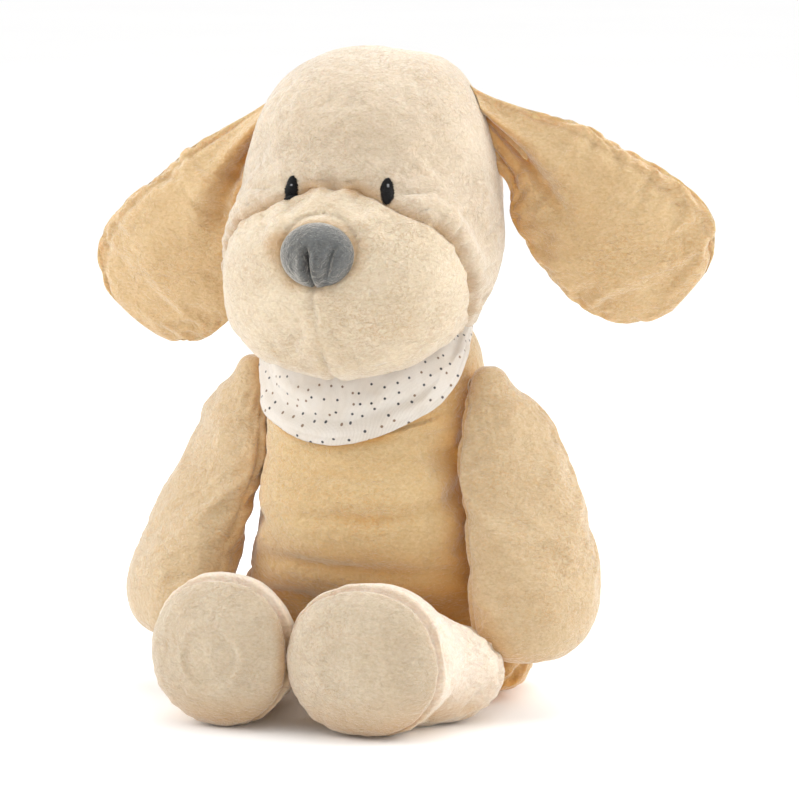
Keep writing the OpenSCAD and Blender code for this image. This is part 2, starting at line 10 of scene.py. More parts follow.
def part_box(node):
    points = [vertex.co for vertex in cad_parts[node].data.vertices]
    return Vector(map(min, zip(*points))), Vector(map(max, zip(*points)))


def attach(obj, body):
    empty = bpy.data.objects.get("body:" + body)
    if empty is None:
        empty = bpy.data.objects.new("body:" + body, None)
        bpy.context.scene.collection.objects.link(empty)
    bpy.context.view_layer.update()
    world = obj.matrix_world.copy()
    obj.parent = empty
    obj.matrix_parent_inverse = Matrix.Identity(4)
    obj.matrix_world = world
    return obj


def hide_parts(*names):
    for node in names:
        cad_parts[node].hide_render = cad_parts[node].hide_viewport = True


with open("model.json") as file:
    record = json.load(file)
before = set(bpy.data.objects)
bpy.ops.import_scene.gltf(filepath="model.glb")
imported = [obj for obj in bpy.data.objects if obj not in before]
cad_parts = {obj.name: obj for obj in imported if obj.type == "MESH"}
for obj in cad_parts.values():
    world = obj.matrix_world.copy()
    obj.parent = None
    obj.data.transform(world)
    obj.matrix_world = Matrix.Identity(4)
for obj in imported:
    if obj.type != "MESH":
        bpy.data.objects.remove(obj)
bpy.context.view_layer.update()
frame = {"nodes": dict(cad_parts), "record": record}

nodes = frame["nodes"]
MM = 0.001

# The seated toy's stations, as in the CAD, in millimetres: x, y, z, tilt, half width, front, back, squareness.
TORSO = np.array([
    [3, 0, 2.6, 0, 56, 15.5, 51, 0.90], [4, 0, 8, 0, 66, 18.5, 59, 0.92], [4.5, 0, 22, 0, 69, 21, 63, 0.94],
    [4.4, 0, 40, 0, 64, 26, 62, 0.95], [4.2, 0, 56, 0, 59, 40, 60, 0.96], [3.8, 0, 74, 0, 55, 48, 57, 0.97],
    [2.8, 1, 94, 1, 51.5, 49.5, 54, 0.98], [1.2, 4, 114, 3, 49.5, 46, 51, 1], [0, 6, 130, 8, 49.4, 47.4, 50, 1],
    [0, 3.6, 144.5, 18, 48.4, 48.4, 48.4, 1], [0, 0, 153.5, 22, 44.8, 44.8, 44.8, 1],
    [0, -4.2, 163.6, 22, 38, 38, 38, 1]])
HEAD = np.array([
    [0, -5, 164.6, 22, 37.2, 37.2, 37.2, 1], [0, -9.5, 166, 21, 44, 45, 43, 0.98],
    [0, -12, 169.5, 19, 51, 52.5, 50.5, 0.95], [0, -13, 179.5, 15, 56, 58, 56, 0.93],
    [0, -11.5, 191.5, 9, 58.4, 60.5, 61, 0.92], [0, -9, 203.5, 4, 58.6, 61, 63, 0.92],
    [0, -5.5, 215, 0, 57.0, 59.6, 62.5, 0.92], [0, 0, 226, 0, 55, 55, 60, 0.92],
    [0, 2.5, 238, 0, 52.8, 52, 56.5, 0.93], [0, 4, 252, 0, 49, 49.5, 51.5, 0.94],
    [0, 6, 265.5, 0, 42.5, 43, 43, 0.95], [0, 8.5, 276, 0, 32, 32.5, 31, 0.97],
    [0, 10, 282, 0, 16, 16, 15, 1], [0, 10.5, 283.6, 0, 0, 0, 0, 1]])
ARM = np.array([
    [0, 0, -9, 0, 2, 2, 2, 1], [0, 0, -6.4, 0, 6.4, 5.6, 5.6, 1], [1, 1, 0, 4, 10, 8.2, 7.6, 1],
    [4, 4.5, 8, 10, 15.6, 10.4, 8.6, 0.98], [6, 8, 18, 16, 20.6, 12.4, 10.8, 0.96],
    [7, 13, 35, 20, 25, 15, 13.8, 0.95], [9.5, 20, 56, 20, 27.8, 17.8, 17, 0.95],
    [11, 26, 75, 16, 30, 19.6, 18.8, 0.95], [10.5, 30, 91, 10, 30.2, 19.6, 18.8, 0.95],
    [9, 32.5, 103.5, 6, 26, 17, 16, 0.96], [8, 33.5, 112, 2, 16.5, 11.2, 10.6, 0.98],
    [7.5, 34, 116, 0, 0, 0, 0, 1]])
FR = 32.0                # half height of a foot
LEG = np.array([
    [0, 0, -20, 0, 3, 3, 3, 1], [0, 0, -17, 0, 10.4, 10.4, 10.4, 1], [0, 0, -9, 0, 17.8, 17.8, 17.8, 1],
    [-0.5, 1.5, 4, 0, 22, 21.4, 20, 0.98], [-3, 5, 18, 0, 26, 26, 24, 0.96],
    [-6, 10, 31, 0, 29.6, FR - 1.5, FR - 2.5, 0.95], [-7.8, 10.8, 41, 0, 30.8, FR - 0.7, FR - 0.7, 0.94],
    [-8.2, 10.8, 49, 0, 29.8, FR - 2, FR - 2, 0.94], [-8.4, 10.8, 56, 0, 24.8, FR - 7, FR - 7, 0.96],
    [-8.5, 10.8, 61.5, 0, 12, 12.4, 12.4, 0.98], [-8.5, 10.8, 63, 0, 0, 0, 0, 1]])
# Ear: run, upper edge, lower edge, half thickness, bend.
EAR = np.array([
    [0.00, 20, 15, 2.6, 0], [0.05, 22, 16, 3.6, 0.5], [0.14, 24.5, 18, 5, 1.5], [0.26, 28, 22.5, 6.2, 2.5],
    [0.42, 32, 28.5, 7, 3], [0.60, 35.5, 31.5, 7.2, 2.4], [0.76, 36, 31, 6.8, 0.8],
    [0.88, 32.5, 26.5, 6, -1.2], [0.96, 24, 18.5, 4.6, -3], [1.00, 12, 9, 2.2, -4]])
# Muzzle seam: degrees from the middle of the face, place along HEAD.
SEAM = np.array([[0, 7.25], [10, 7.2], [20, 6.9], [30, 6.45], [40, 6.1], [50, 5.8], [60, 5.3], [70, 4.3],
                 [80, 2.4], [90, 0.06]])
# The neck: head and neckerchief turn on a ball that leans forward with the torso.
BALL = 50.0
PIVOT = np.array([0, 8, 133.5])
LEAN = math.radians(22)
NECK = np.array([0, -math.sin(LEAN), math.cos(LEAN)])
SHOULDER = np.array([57.5, -6, 139.5])
HIP = np.array([39, -43, 21.5])
HEAD_TURN = 2.5          # degrees the head looks to its side at rest
EYE_ROW = 7.08           # place of the eyes along HEAD
EYE_ANGLE = 272.6        # the middle between the eyes
EYE_SPREAD = 21          # from there to each eye, in degrees round the head


# ---------- curves, noise and grids ----------

def spline(rows, u):
    n = len(rows) - 1
    u = np.clip(np.asarray(u, float), 0, n)
    i = np.clip(np.floor(u).astype(int), 0, n - 1)
    t = (u - i).reshape(np.shape(u) + (1,) * (rows.ndim - 1))
    p0, p1 = rows[np.maximum(i - 1, 0)], rows[i]
    p2, p3 = rows[i + 1], rows[np.minimum(i + 2, n)]
    return (2 * p1 + (p2 - p0) * t + (2 * p0 - 5 * p1 + 4 * p2 - p3) * t * t
            + (3 * p1 - p0 - 3 * p2 + p3) * t ** 3) / 2


def station_point(rows, u, a):
    s = spline(rows, u)
    ca, sa = np.cos(np.radians(a)), np.sin(np.radians(a))
    c = np.sign(ca) * np.abs(ca) ** s[..., 7]
    d = np.sign(sa) * np.abs(sa) ** s[..., 7]
    depth = np.where(d > 0, s[..., 6], s[..., 5])
    tilt = np.radians(s[..., 3])
    return np.stack([s[..., 0] + s[..., 4] * c, s[..., 1] + depth * d * np.cos(tilt),
                     s[..., 2] + depth * d * np.sin(tilt)], -1)


def smooth(t):
    t = np.clip(t, 0, 1)
    return t * t * (3 - 2 * t)


def bell(x, centre, width):
    return np.exp(-((x - centre) / width) ** 2)


_rng = np.random.RandomState(11)
_grads = _rng.normal(size=(512, 3))
_grads /= np.linalg.norm(_grads, axis=1)[:, None]


def noise(p, seed=0):
    """Smooth gradient noise at points p, about -0.7 to 0.7."""
    i = np.floor(p).astype(np.int64)
    f = p - i
    w = f * f * f * (f * (f * 6 - 15) + 10)
    total = 0
    for dx in (0, 1):
        for dy in (0, 1):
            for dz in (0, 1):
                h = ((i[..., 0] + dx) * 73856093) ^ ((i[..., 1] + dy) * 19349663) ^ ((i[..., 2] + dz) * 83492791)
                g = _grads[(h ^ (seed * 2654435761)) % 509]
                v = f - np.array([dx, dy, dz])
                weight = ((w[..., 0] if dx else 1 - w[..., 0]) * (w[..., 1] if dy else 1 - w[..., 1])
                          * (w[..., 2] if dz else 1 - w[..., 2]))
                total = total + weight * (g * v).sum(-1)
    return total


def noise_at(x, y, z, seed):
    return noise(np.stack(np.broadcast_arrays(x, y, z), -1), seed)


def ridges(p, seed=0):
    return 1 - 2 * np.abs(noise(p, seed))


def normals(P):
    """Outward normals of a wrapped grid of points."""
    along = np.gradient(P, axis=0)
    around = np.roll(P, -1, 1) - np.roll(P, 1, 1)
    n = np.cross(around, along)
    return n / np.maximum(np.linalg.norm(n, axis=-1), 1e-9)[..., None]


def relax(P, rounds=1):
    """Smooths a wrapped grid a little."""
    for _ in range(rounds):
        Q = P.copy()
        Q[1:-1] = P[1:-1] * 0.5 + (P[:-2] + P[2:]) * 0.125 + (np.roll(P, 1, 1) + np.roll(P, -1, 1))[1:-1] * 0.125
        P = Q
    return P


def upsample(field, rows, cols):
    """Smooth resize of a wrapped grid field."""
    a = spline(field, np.linspace(0, len(field) - 1, rows))
    n = a.shape[1]
    ext = np.concatenate([a[:, -2:], a, a[:, :3]], 1).swapaxes(0, 1)
    return spline(ext, 2 + np.arange(cols) * n / cols).swapaxes(0, 1)


def new_object(name, verts, faces, smooth_faces=True):
    """Object over points in millimetres, linked to the scene."""
    mesh = bpy.data.meshes.new(name)
    mesh.from_pydata((verts * MM).tolist(), [], faces)
    mesh.polygons.foreach_set("use_smooth", np.full(len(mesh.polygons), smooth_faces))
    mesh.update()
    obj = bpy.data.objects.new(name, mesh)
    bpy.context.scene.collection.objects.link(obj)
    return obj


def wrapped_quads(rows, cols, base=0):
    """Faces of a grid of points whose last column joins the first."""
    k = np.arange(cols)
    k1 = (k + 1) % cols
    i = np.arange(rows - 1)[:, None] * cols + base
    return np.stack([i + k, i + k1, i + cols + k1, i + cols + k], -1).reshape(-1, 4).tolist()


def grid_object(name, P, attributes=None):
    """Closed mesh over a wrapped grid in millimetres, with a pole at each end."""
    rows, cols = P.shape[:2]
    k = np.arange(cols)
    k1 = (k + 1) % cols
    first, last, top = rows * cols, rows * cols + 1, (rows - 1) * cols
    start = np.stack([np.full(cols, first), k1, k], -1).tolist()
    end = np.stack([np.full(cols, last), top + k, top + k1], -1).tolist()
    verts = np.concatenate([P.reshape(-1, 3), P[0].mean(0)[None], P[-1].mean(0)[None]])
    obj = new_object(name, verts, wrapped_quads(rows, cols) + start + end)
    for key, values in (attributes or {}).items():
        flat = np.concatenate([values.reshape(-1), [values[0].mean()], [values[-1].mean()]]).astype(np.float32)
        obj.data.attributes.new(key, "FLOAT", "POINT").data.foreach_set("value", flat)
    return obj


def puff(P, pins, swell=0.05, pressure=3.0, frames=16, cap=3.5):
    """Cloth simulation on a coarse grid: slack fabric under pressure, held at the seams. Returns its moves."""
    obj = grid_object("cloth_work", P)
    group = obj.vertex_groups.new(name="pin")
    flat = np.concatenate([pins.reshape(-1), [1, 1]])
    for w in (1.0, 0.5, 0.2):
        chosen = [int(v) for v in np.nonzero(np.isclose(flat, w))[0]]
        if chosen:
            group.add(chosen, w, "REPLACE")
    mod = obj.modifiers.new("cloth", "CLOTH")
    c = mod.settings
    c.quality = 5
    c.mass = 0.15
    c.tension_stiffness = c.compression_stiffness = 12
    c.shear_stiffness = 6
    c.bending_stiffness = 0.35
    c.tension_damping = c.compression_damping = c.shear_damping = 12
    c.air_damping = 3
    c.use_pressure = True
    c.uniform_pressure_force = pressure
    c.shrink_min = -swell
    c.shrink_max = -swell
    c.vertex_group_mass = "pin"
    c.pin_stiffness = 1
    c.effector_weights.gravity = 0
    mod.collision_settings.use_collision = False
    scene = bpy.context.scene
    mod.point_cache.frame_start = 1
    mod.point_cache.frame_end = frames
    for f in range(1, frames + 1):
        scene.frame_set(f)
    got = obj.evaluated_get(bpy.context.evaluated_depsgraph_get()).to_mesh()
    co = np.zeros(len(got.vertices) * 3, np.float32)
    got.vertices.foreach_get("co", co)
    Q = co.reshape(-1, 3)[:-2].reshape(P.shape).astype(float) / MM
    bpy.data.objects.remove(obj)
    scene.frame_set(1)
    move = Q - P
    move[~np.isfinite(move)] = 0
    n = normals(P)
    out = (move * n).sum(-1)
    out = out - np.median(out)
    move = move * 0.4 + n * (out * 0.6)[..., None]
    size = np.linalg.norm(move, axis=-1)
    return move * (np.minimum(size, cap) / np.maximum(size, 1e-6))[..., None]


def to_frame(P):
    return P + OFFSET


# The CAD moves the toy so that its box is centred on the origin: the neck's joint shows by how much.
NECK_JOINT = next(j for j in frame["record"]["behaviour"]["joints"] if j["name"] == "neck_nod")
OFFSET = np.round(np.array(NECK_JOINT["pos_m"]) / MM - PIVOT, 3)


def head_frame(P):
    t = math.radians(HEAD_TURN)
    q = P - PIVOT
    x = q[..., 0] * math.cos(t) - q[..., 1] * math.sin(t)
    y = q[..., 0] * math.sin(t) + q[..., 1] * math.cos(t)
    return to_frame(np.stack([x, y, q[..., 2]], -1) + PIVOT)


def mirrored(P, side):
    return P * np.array([side, 1, 1])


def oriented(P, side):
    """Keeps a wrapped grid's faces outward after a mirror."""
    return P if side > 0 else P[:, ::-1]


def lumps(P, amount, scale, seed):
    return amount * noise(P / scale, seed)


def crumple(P, seed, amount=0.3, scale=7.0, stretch=(1, 1, 2.2)):
    """Fine crushed-pile ripples."""
    q = P * np.array(stretch) / scale
    warp = noise(P / 18.0, seed + 5)[..., None]
    return amount * (ridges(q + warp, seed) - 0.6) + amount * 0.5 * noise(q * 2.1 + 9, seed + 1)


# ---------- torso ----------

def torso_grid(rows, cols):
    seat_rows = max(4, rows // 11)
    cap_rows = max(4, rows // 12)
    body_rows = rows - seat_rows - cap_rows
    a = np.arange(cols) * 360.0 / cols
    base = station_point(TORSO, np.full(cols, 0.0), a)
    rim = base.copy()
    rim[:, 0] *= 0.92
    rim[:, 1] = (rim[:, 1] - 18) * 0.94 + 18
    rim[:, 2] = 0.15
    centre = np.array([0, 18.0, 0.15])
    seat = [centre + (rim - centre) * t for t in np.linspace(0.04, 1, seat_rows)]
    u = np.linspace(0, len(TORSO) - 1.02, body_rows)
    wall = [station_point(TORSO, np.full(cols, x), a) for x in u]
    edge = wall[-1] - PIVOT
    polar0 = math.acos(float((edge @ NECK / np.linalg.norm(edge, axis=1)).mean()))
    cap = []
    for t in np.linspace(1 / (cap_rows + 0.5), 1 - 0.04, cap_rows):
        polar = polar0 * (1 - t)
        ring = edge - (edge @ NECK)[:, None] * NECK
        ring /= np.linalg.norm(ring, axis=1)[:, None]
        cap.append(PIVOT + 49.6 * (math.cos(polar) * NECK + math.sin(polar) * ring))
    P = np.stack(seat + wall + cap)
    return P, np.concatenate([np.full(seat_rows, -1.0), u, np.full(cap_rows, 11.5)]), a


# Creases round the sides and the back: height, angle, spread and depth.
SIDE_CREASES = [
    (100, 30, 40, 1.3), (74, 60, 38, 1.4), (52, 110, 42, 1.5), (92, 135, 36, 1.3), (36, 80, 50, 1.4),
    (118, 90, 40, 1.2), (64, 150, 35, 1.3), (30, 150, 40, 1.2)]


def make_torso():
    Pc, uc, ac = torso_grid(56, 64)
    pins = np.zeros(Pc.shape[:2])
    side = np.minimum(np.abs((ac % 180)), 180 - (ac % 180))
    pins[:, side < 3] = 1.0
    pins[uc < 0.4] = 1.0
    pins[uc > 8.6] = 1.0
    move = puff(Pc, pins, 0.06, 2.5, 16, 2.4)
    rows, cols = 190, 300
    P, u, a = torso_grid(rows, cols)
    up = upsample(move, *P.shape[:2])
    keep = (smooth((u - 0.3) / 1.2) * (1 - smooth((u - 7.6) / 1.2)))[:, None]
    P = P + up * keep[..., None]
    n = normals(P)
    A = a[None, :]
    z = P[..., 2]
    front = bell(A, 270, 55.0)
    d = lumps(P, 1.6, 42, 3) + lumps(P, 0.9, 19, 4)
    wob = 3.5 * noise(P / 30, 21)
    # Soft creases across the belly, and the swell under the neckerchief.
    d -= 2.2 * bell(z + wob, 104, 3.4) * bell(A, 262, 38.0)
    d -= 3.0 * bell(z - 0.06 * (A - 270) + wob, 86, 3.2) * bell(A, 285, 36.0)
    d -= 2.8 * bell(z + 0.05 * (A - 270) + wob, 62, 3.6) * front
    d -= 2.2 * bell(z + wob, 45, 3.2) * bell(A, 255, 40.0)
    for k, (zz, aa, w, amt) in enumerate(SIDE_CREASES):
        d -= amt * bell(z + 0.05 * (A - aa) + 4 * noise(P / 26, 30 + k), zz, 3.0) * bell(A, aa, w)
    d += crumple(P, 40, 0.34)
    # Side seams and the closing seam in the back.
    for s0 in (0, 180, 360):
        off = np.abs(A - s0) * math.radians(1) * 60 + 0 * z
        d -= 1.5 * bell(off, 0, 1.8)
        d += 0.5 * bell(off, 4.5, 3.0) * (0.6 + noise_at(z / 4.2, s0, off / 30, 6))
    off = np.abs(A - 90) * math.radians(1) * 58 + 0 * z
    d -= 1.3 * bell(off, 0, 1.6) * (z > 4)
    d += 0.45 * bell(off, 4.5, 3.0) * (0.6 + noise_at(z / 4.0, 7, off / 30, 8))
    fade = (smooth((u - 0.2) / 1.0) * (1 - smooth((u - 8.6) / 0.6)))[:, None]
    seat_edge = 0.9 * bell(u, 0.15, 0.25)[:, None]
    # Where the creases sink, for painted shade in them.
    crease_shade = np.clip((-d - 0.9) / 3.2, 0, 1) * fade
    P = P + n * (d * fade - seat_edge)[..., None]
    P[..., 2] = np.maximum(P[..., 2], 0.1)
    # The upper part keeps inside the ball that the head and the neckerchief turn on.
    v = P - PIVOT
    r = np.linalg.norm(v, axis=-1)
    top = (v @ NECK) / r > 0.12
    r_new = np.where(top, np.minimum(r, 50.2), r)
    P = PIVOT + v * (r_new / r)[..., None]
    return to_frame(P), {"crease_shade": crease_shade}


# ---------- head ----------

def outside_ball(P, radius):
    v = P - PIVOT
    r = np.linalg.norm(v, axis=-1)
    return PIVOT + v * (np.maximum(r, radius) / r)[..., None]


# Rings under the head: degrees from the neck's axis, clearance over the ball. They dip to the ring of stitching
# at 18.8 degrees and rise before the neckerchief's upper edge, which the head reaches when it nods back.
UNDERSIDE = ((4.0, 0.9), (17.5, 0.9), (21.0, 5.8))


def head_grid(rows, cols):
    a = np.arange(cols) * 360.0 / cols
    u = np.interp(np.linspace(0, 1, rows), [0, 0.25, 0.8, 1], [0.02, 3.4, 11.0, len(HEAD) - 1.04])
    P = np.stack([outside_ball(station_point(HEAD, np.full(cols, x), a), BALL + 5.4) for x in u])
    v = P[0] - PIVOT
    polar0 = np.arccos(v @ NECK / np.linalg.norm(v, axis=1))
    out = v - (v @ NECK)[:, None] * NECK
    out /= np.linalg.norm(out, axis=1)[:, None]
    inner = []
    for degrees, clear in UNDERSIDE:
        polar = np.minimum(math.radians(degrees), 0.85 * polar0)[:, None]
        inner.append(PIVOT + (BALL + clear) * (np.cos(polar) * NECK + np.sin(polar) * out))
    P = np.concatenate([np.stack(inner), P])
    u = np.concatenate([[-0.3, -0.2, -0.1], u])
    return P, u, a


def seam_u(off):
    return np.interp(off, SEAM[:, 0], SEAM[:, 1], right=-5.0)


def make_head():
    Pc, uc, ac = head_grid(60, 72)
    pins = np.zeros(Pc.shape[:2])
    offc = np.abs(ac - 270)
    target = seam_u(offc)
    pins[np.abs(uc[:, None] - target[None, :]) < 0.12] = 1.0
    pins[uc < 0.5] = 1.0
    pins[:, (np.abs(ac - 90) < 2)] = 0.5
    move = puff(Pc, pins, 0.035, 3.0, 14, 1.6)
    rows, cols = 250, 380
    P, u, a = head_grid(rows, cols)
    keep = smooth((u - 0.4) / 1.2)[:, None] * np.ones((1, cols))
    P = relax(P, 2) + upsample(move, *P.shape[:2]) * keep[..., None]
    n = normals(P)
    A, U = np.broadcast_arrays(a[None, :], u[:, None])
    off = np.abs(A - 270)
    x, z = P[..., 0], P[..., 2]
    # Signed distance to the muzzle seam in millimetres, positive above it: by the nearest seam point.
    seam_a = np.concatenate([270 - SEAM[::-1, 0], 270 + SEAM[1:, 0]])
    seam_s = np.concatenate([SEAM[::-1, 1], SEAM[1:, 1]])
    ta = np.interp(np.linspace(0, 1, 400), np.linspace(0, 1, len(seam_a)), seam_a)
    ts = np.interp(ta, seam_a, seam_s)
    line = station_point(HEAD, np.maximum(ts, 0.02), ta)
    flat = P.reshape(-1, 3)
    dist = np.full(len(flat), 1e9)
    where = np.zeros(len(flat))
    for k in range(0, len(line), 4):
        dk = ((flat[:, None, :] - line[None, k:k + 4]) ** 2).sum(-1)
        m = dk.min(1)
        better = m < dist
        where[better] = k
        dist = np.minimum(dist, m)
    dist = np.sqrt(dist).reshape(A.shape)
    along = where.reshape(A.shape)
    muzzle = (U < seam_u(off)) & (off < 80)
    s = np.where(muzzle, -dist, dist)
    d = lumps(P, 1.3, 46, 51) + lumps(P, 0.7, 18, 52)
    # The muzzle is a fuller cushion under the brow.
    fullness = smooth((-s) / 22.0) * muzzle
    d += 2.6 * fullness * bell(off, 0, 62.0) + 1.2 * fullness
    d += np.where(~muzzle, 2.2 * bell(s, 6.5, 6.0) * (off < 95), 0)
    puck = noise_at(along / 5.0, 0, s / 40, 53)
    d -= 3.1 * bell(s, 0, 1.7) * smooth((96 - off) / 20)
    d += (0.25 + 0.9 * puck) * bell(np.abs(s), 4.5, 3.6) * (off < 92)
    # Small drawn-in peak in the middle of the seam.
    peak = bell(x, 1.0, 3.2) * (off < 60)
    d -= 2.6 * peak * bell(s, 1.0, 3.6)
    d += 0.7 * bell(np.abs(x - 1.0), 5.0, 2.6) * (off < 60) * bell(s + 2.5, 0, 4.0)
    # Seam from the nose down to the chin, and a faint crease beside it.
    cx = x - 1.2 * np.sin(z / 11.0)
    below = smooth((197 - z) / 6) * muzzle * (off < 60) * smooth((z - 140) / 8)
    d -= 1.25 * bell(cx, 0, 1.25) * below
    d += 0.7 * bell(np.abs(cx), 4.2, 3.0) * below * (0.7 + 0.8 * noise_at(z / 4.5, 0, 0, 54))
    d -= 0.8 * bell(x - 12, (180 - z) * 0.18, 1.9) * bell(z, 172, 13) * muzzle * (off < 60)
    # Brow: faint folds across the forehead, and the sewn dart lines at the back of the head.
    brow = 0.5 * ridges(P * np.array([0.35, 0.35, 1]) / 15, 55) * bell(off, 0, 60) * smooth((s - 6) / 14)
    d += np.where(~muzzle, brow, 0)
    back = np.abs(A - 90) * math.radians(1) * 52
    d -= 1.4 * bell(back, 0, 1.7) * (U > 0.5) * smooth((12.2 - U) / 1.0)
    d += 0.5 * bell(back, 4.5, 3.0) * (0.6 + noise_at(z / 4.0, 0, 3, 56)) * smooth((12.0 - U) / 1.5)
    d += crumple(P, 60, 0.30, 7.5, (1, 1, 1.7)) * np.where(muzzle, 0.85, 1.0)
    # Bed of the nose.
    nose = np.sqrt((x / 17.0) ** 2 + ((z - 203) / 15.5) ** 2)
    d -= 1.3 * bell(nose, 1.0, 0.16) * (off < 45)
    d -= 1.2 * (nose < 1) * (off < 45)
    # Eyes are drawn in a little by their stitching.
    for side in (1, -1):
        e = station_point(HEAD, np.array(EYE_ROW), np.array(EYE_ANGLE + side * EYE_SPREAD))
        r2 = ((P - e) ** 2).sum(-1)
        d -= 1.1 * np.exp(-r2 / 7.5 ** 2)
    fade = smooth((U - 0.15) / 0.9)
    P = P + n * (d * fade)[..., None]
    P = np.where((U < 0)[..., None], P, outside_ball(P, BALL + 5.2))
    material = muzzle & (U > 0.02)
    # The seam mask only feeds painted shade along the muzzle seam's groove.
    return head_frame(P), {"muzzle": material.astype(float), "seam": bell(s, 0, 2.2) * smooth((96 - off) / 20)}


# ---------- limbs ----------

def turned_from(angle, start):
    """Angle from a start angle, between -180 and 180 degrees."""
    return (angle - start + 180) % 360 - 180


def limb_grid(rows_table, rows, cols, start=0.35, end=0.06):
    a = np.arange(cols) * 360.0 / cols
    n = len(rows_table) - 1
    u = np.linspace(start, n - end, rows)
    # Even spacing along the limb rather than along the stations.
    edge = station_point(rows_table, u, np.zeros(rows))
    length = np.concatenate([[0], np.cumsum(np.linalg.norm(np.diff(edge, axis=0), axis=1))])
    u = np.interp(np.linspace(0, length[-1], rows), length, u)
    return np.stack([station_point(rows_table, np.full(cols, x), a) for x in u]), u, a


def arm_place(P, side):
    t = math.radians(38)
    q = P * np.array([1, -1, -1])
    x = q[..., 0] * math.cos(t) - q[..., 1] * math.sin(t)
    y = q[..., 0] * math.sin(t) + q[..., 1] * math.cos(t)
    # The right arm leans in at the shoulder; the left one stands a little off below.
    down = np.clip(-q[..., 2] / 116, 0, 1)
    if side > 0:
        x = x + 1.5 * smooth(down * 1.6) - 0.07 * np.maximum(x, 0) * smooth(down * 1.5 - 0.4)
    else:
        x = x - 4.8 * (1 - smooth(down * 0.85 - 0.05)) - (2.0 + 9.5 * bell(down, 0.55, 0.30)) * smooth((6 - x) / 20)
    return to_frame(mirrored(np.stack([x, y, q[..., 2]], -1) + SHOULDER, side))


def make_arm(side):
    seed = 70 if side > 0 else 90
    Pc, uc, ac = limb_grid(ARM, 44, 40)
    pins = np.zeros(Pc.shape[:2])
    seam = np.minimum(np.abs(ac), np.abs(ac - 360)) < 5
    pins[:, seam] = 1.0
    pins[:, np.abs(ac - 180) < 5] = 1.0
    pins[uc < 2.2] = 1.0
    move = puff(Pc, pins, 0.07, 2.5, 16, 2.2)
    rows, cols = 130, 130
    P, u, a = limb_grid(ARM, rows, cols)
    keep = smooth((u - 2.0) / 1.0)[:, None, None]
    P = P + upsample(move, *P.shape[:2]) * keep * 0.5
    n = normals(P)
    A, U = np.broadcast_arrays(a[None, :], u[:, None])
    z = P[..., 2]
    d = lumps(P, 1.4, 38, seed) + lumps(P, 0.3, 15, seed + 1)
    for s0 in (0, 180, 360):
        off = np.abs(A - s0) * math.radians(1) * 26
        d -= 0.8 * bell(off, 0, 1.5)
        d += 0.16 * bell(off, 4, 2.6) * (0.6 + noise_at(z / 4.2, s0, 0, seed + 2))
    # Gathers below the shoulder.
    gather = noise_at(A / 11.0, U * 0.6, seed, seed + 3)
    d += 0.8 * gather * bell(U, 3.2, 0.9)
    d -= 1.4 * bell(z + 4 * noise(P / 18, seed + 6), 24, 3.0) * bell(turned_from(A, 60), 0, 60.0)
    d -= 1.0 * bell(z + 5 * noise(P / 20, seed + 7), 52, 3.2) * bell(turned_from(A, 200), 0, 70.0)
    d += crumple(P, seed + 8, 0.24, 7.0, (1, 1, 1.6))
    fade = smooth((U - 1.6) / 1.6)
    # Where the creases sink, for painted shade in them.
    crease_shade = np.clip((-d - 0.7) / 3.0, 0, 1) * fade
    P = P + n * (d * fade)[..., None]
    return oriented(arm_place(P, side), side), {"crease_shade": oriented(crease_shade, side)}


# How far each thigh's root is drawn back: the torso's surface lies further back on its right.
LEFT_ROOT_REACH, RIGHT_ROOT_REACH = 2.8, 4.8


def leg_place(P, side):
    q = np.stack([P[..., 0], -P[..., 2], P[..., 1]], -1)
    foot = smooth((P[..., 2] - 4) / 26)
    if side > 0:
        q[..., 0] += foot * 0.09 * (q[..., 0] + 8) + 17.0 * (1 - foot) * smooth((q[..., 0] + 14) / 34)
    else:
        q[..., 0] += foot * 3.0 + 2.5 * (1 - foot) * smooth((q[..., 0] + 14) / 34)
    # The root of the thigh is drawn in to its stitching on the torso.
    root = (1 - smooth((np.hypot(P[..., 0], P[..., 1]) - 5.5) / 6)) * smooth((-9 - P[..., 2]) / 8)
    q[..., 1] += (LEFT_ROOT_REACH if side > 0 else RIGHT_ROOT_REACH) * root
    return to_frame(mirrored(q + HIP, side))


def make_leg(side):
    seed = 110 if side > 0 else 130
    Pc, uc, _ = limb_grid(LEG, 44, 48, 0.25)
    pins = np.zeros(Pc.shape[:2])
    pins[np.abs(uc - 6.7) < 0.13] = 1.0
    pins[uc < 2.0] = 1.0
    move = puff(Pc, pins, 0.06, 3.0, 16, 2.2)
    rows, cols = 130, 170
    P, u, a = limb_grid(LEG, rows, cols, 0.25)
    keep = smooth((u - 1.8) / 1.2)[:, None, None]
    P = P + upsample(move, *P.shape[:2]) * keep
    n = normals(P)
    A, U = np.broadcast_arrays(a[None, :], u[:, None])
    z = P[..., 2]
    arc = z - spline(LEG, np.array(6.7))[2]
    d = lumps(P, 1.4, 34, seed) + lumps(P, 0.7, 15, seed + 1)
    # Seam round the sole: a groove with small puckers, and a full sole inside it.
    seam_off = arc + 1.5 * noise_at(A / 40, 0, 0, seed + 4)
    puck = noise_at(A * 0.11, 3, seam_off / 40, seed + 2)
    d -= 1.9 * bell(seam_off, 0, 1.5)
    d += (0.3 + 0.8 * puck) * bell(np.abs(seam_off), 4, 3.0)
    # Inner seam along the leg, and pinched folds where it meets the seat.
    along = np.abs(A - 250) * math.radians(1) * 26
    d -= 0.9 * bell(along, 0, 1.4) * (seam_off < 0)
    fold = noise_at(A / 13.0, U * 0.5, seed, seed + 3)
    d += 2.0 * fold * bell(U, 3.2, 0.9)
    d -= 1.8 * bell(z + 3 * noise(P / 16, seed + 6), 7, 2.8) * bell(turned_from(A, 40), 0, 50.0)
    d += crumple(P, seed + 8, 0.30, 7.0, (1, 1.5, 1))
    fade = smooth((U - 1.2) / 1.6)
    P = P + n * (d * fade)[..., None]
    Q = leg_place(P, side)
    Q[..., 2] = np.maximum(Q[..., 2], 0.15)
    return oriented(Q, side), {"sole": smooth(oriented(seam_off, side) / 1.5)}


# ---------- ears ----------

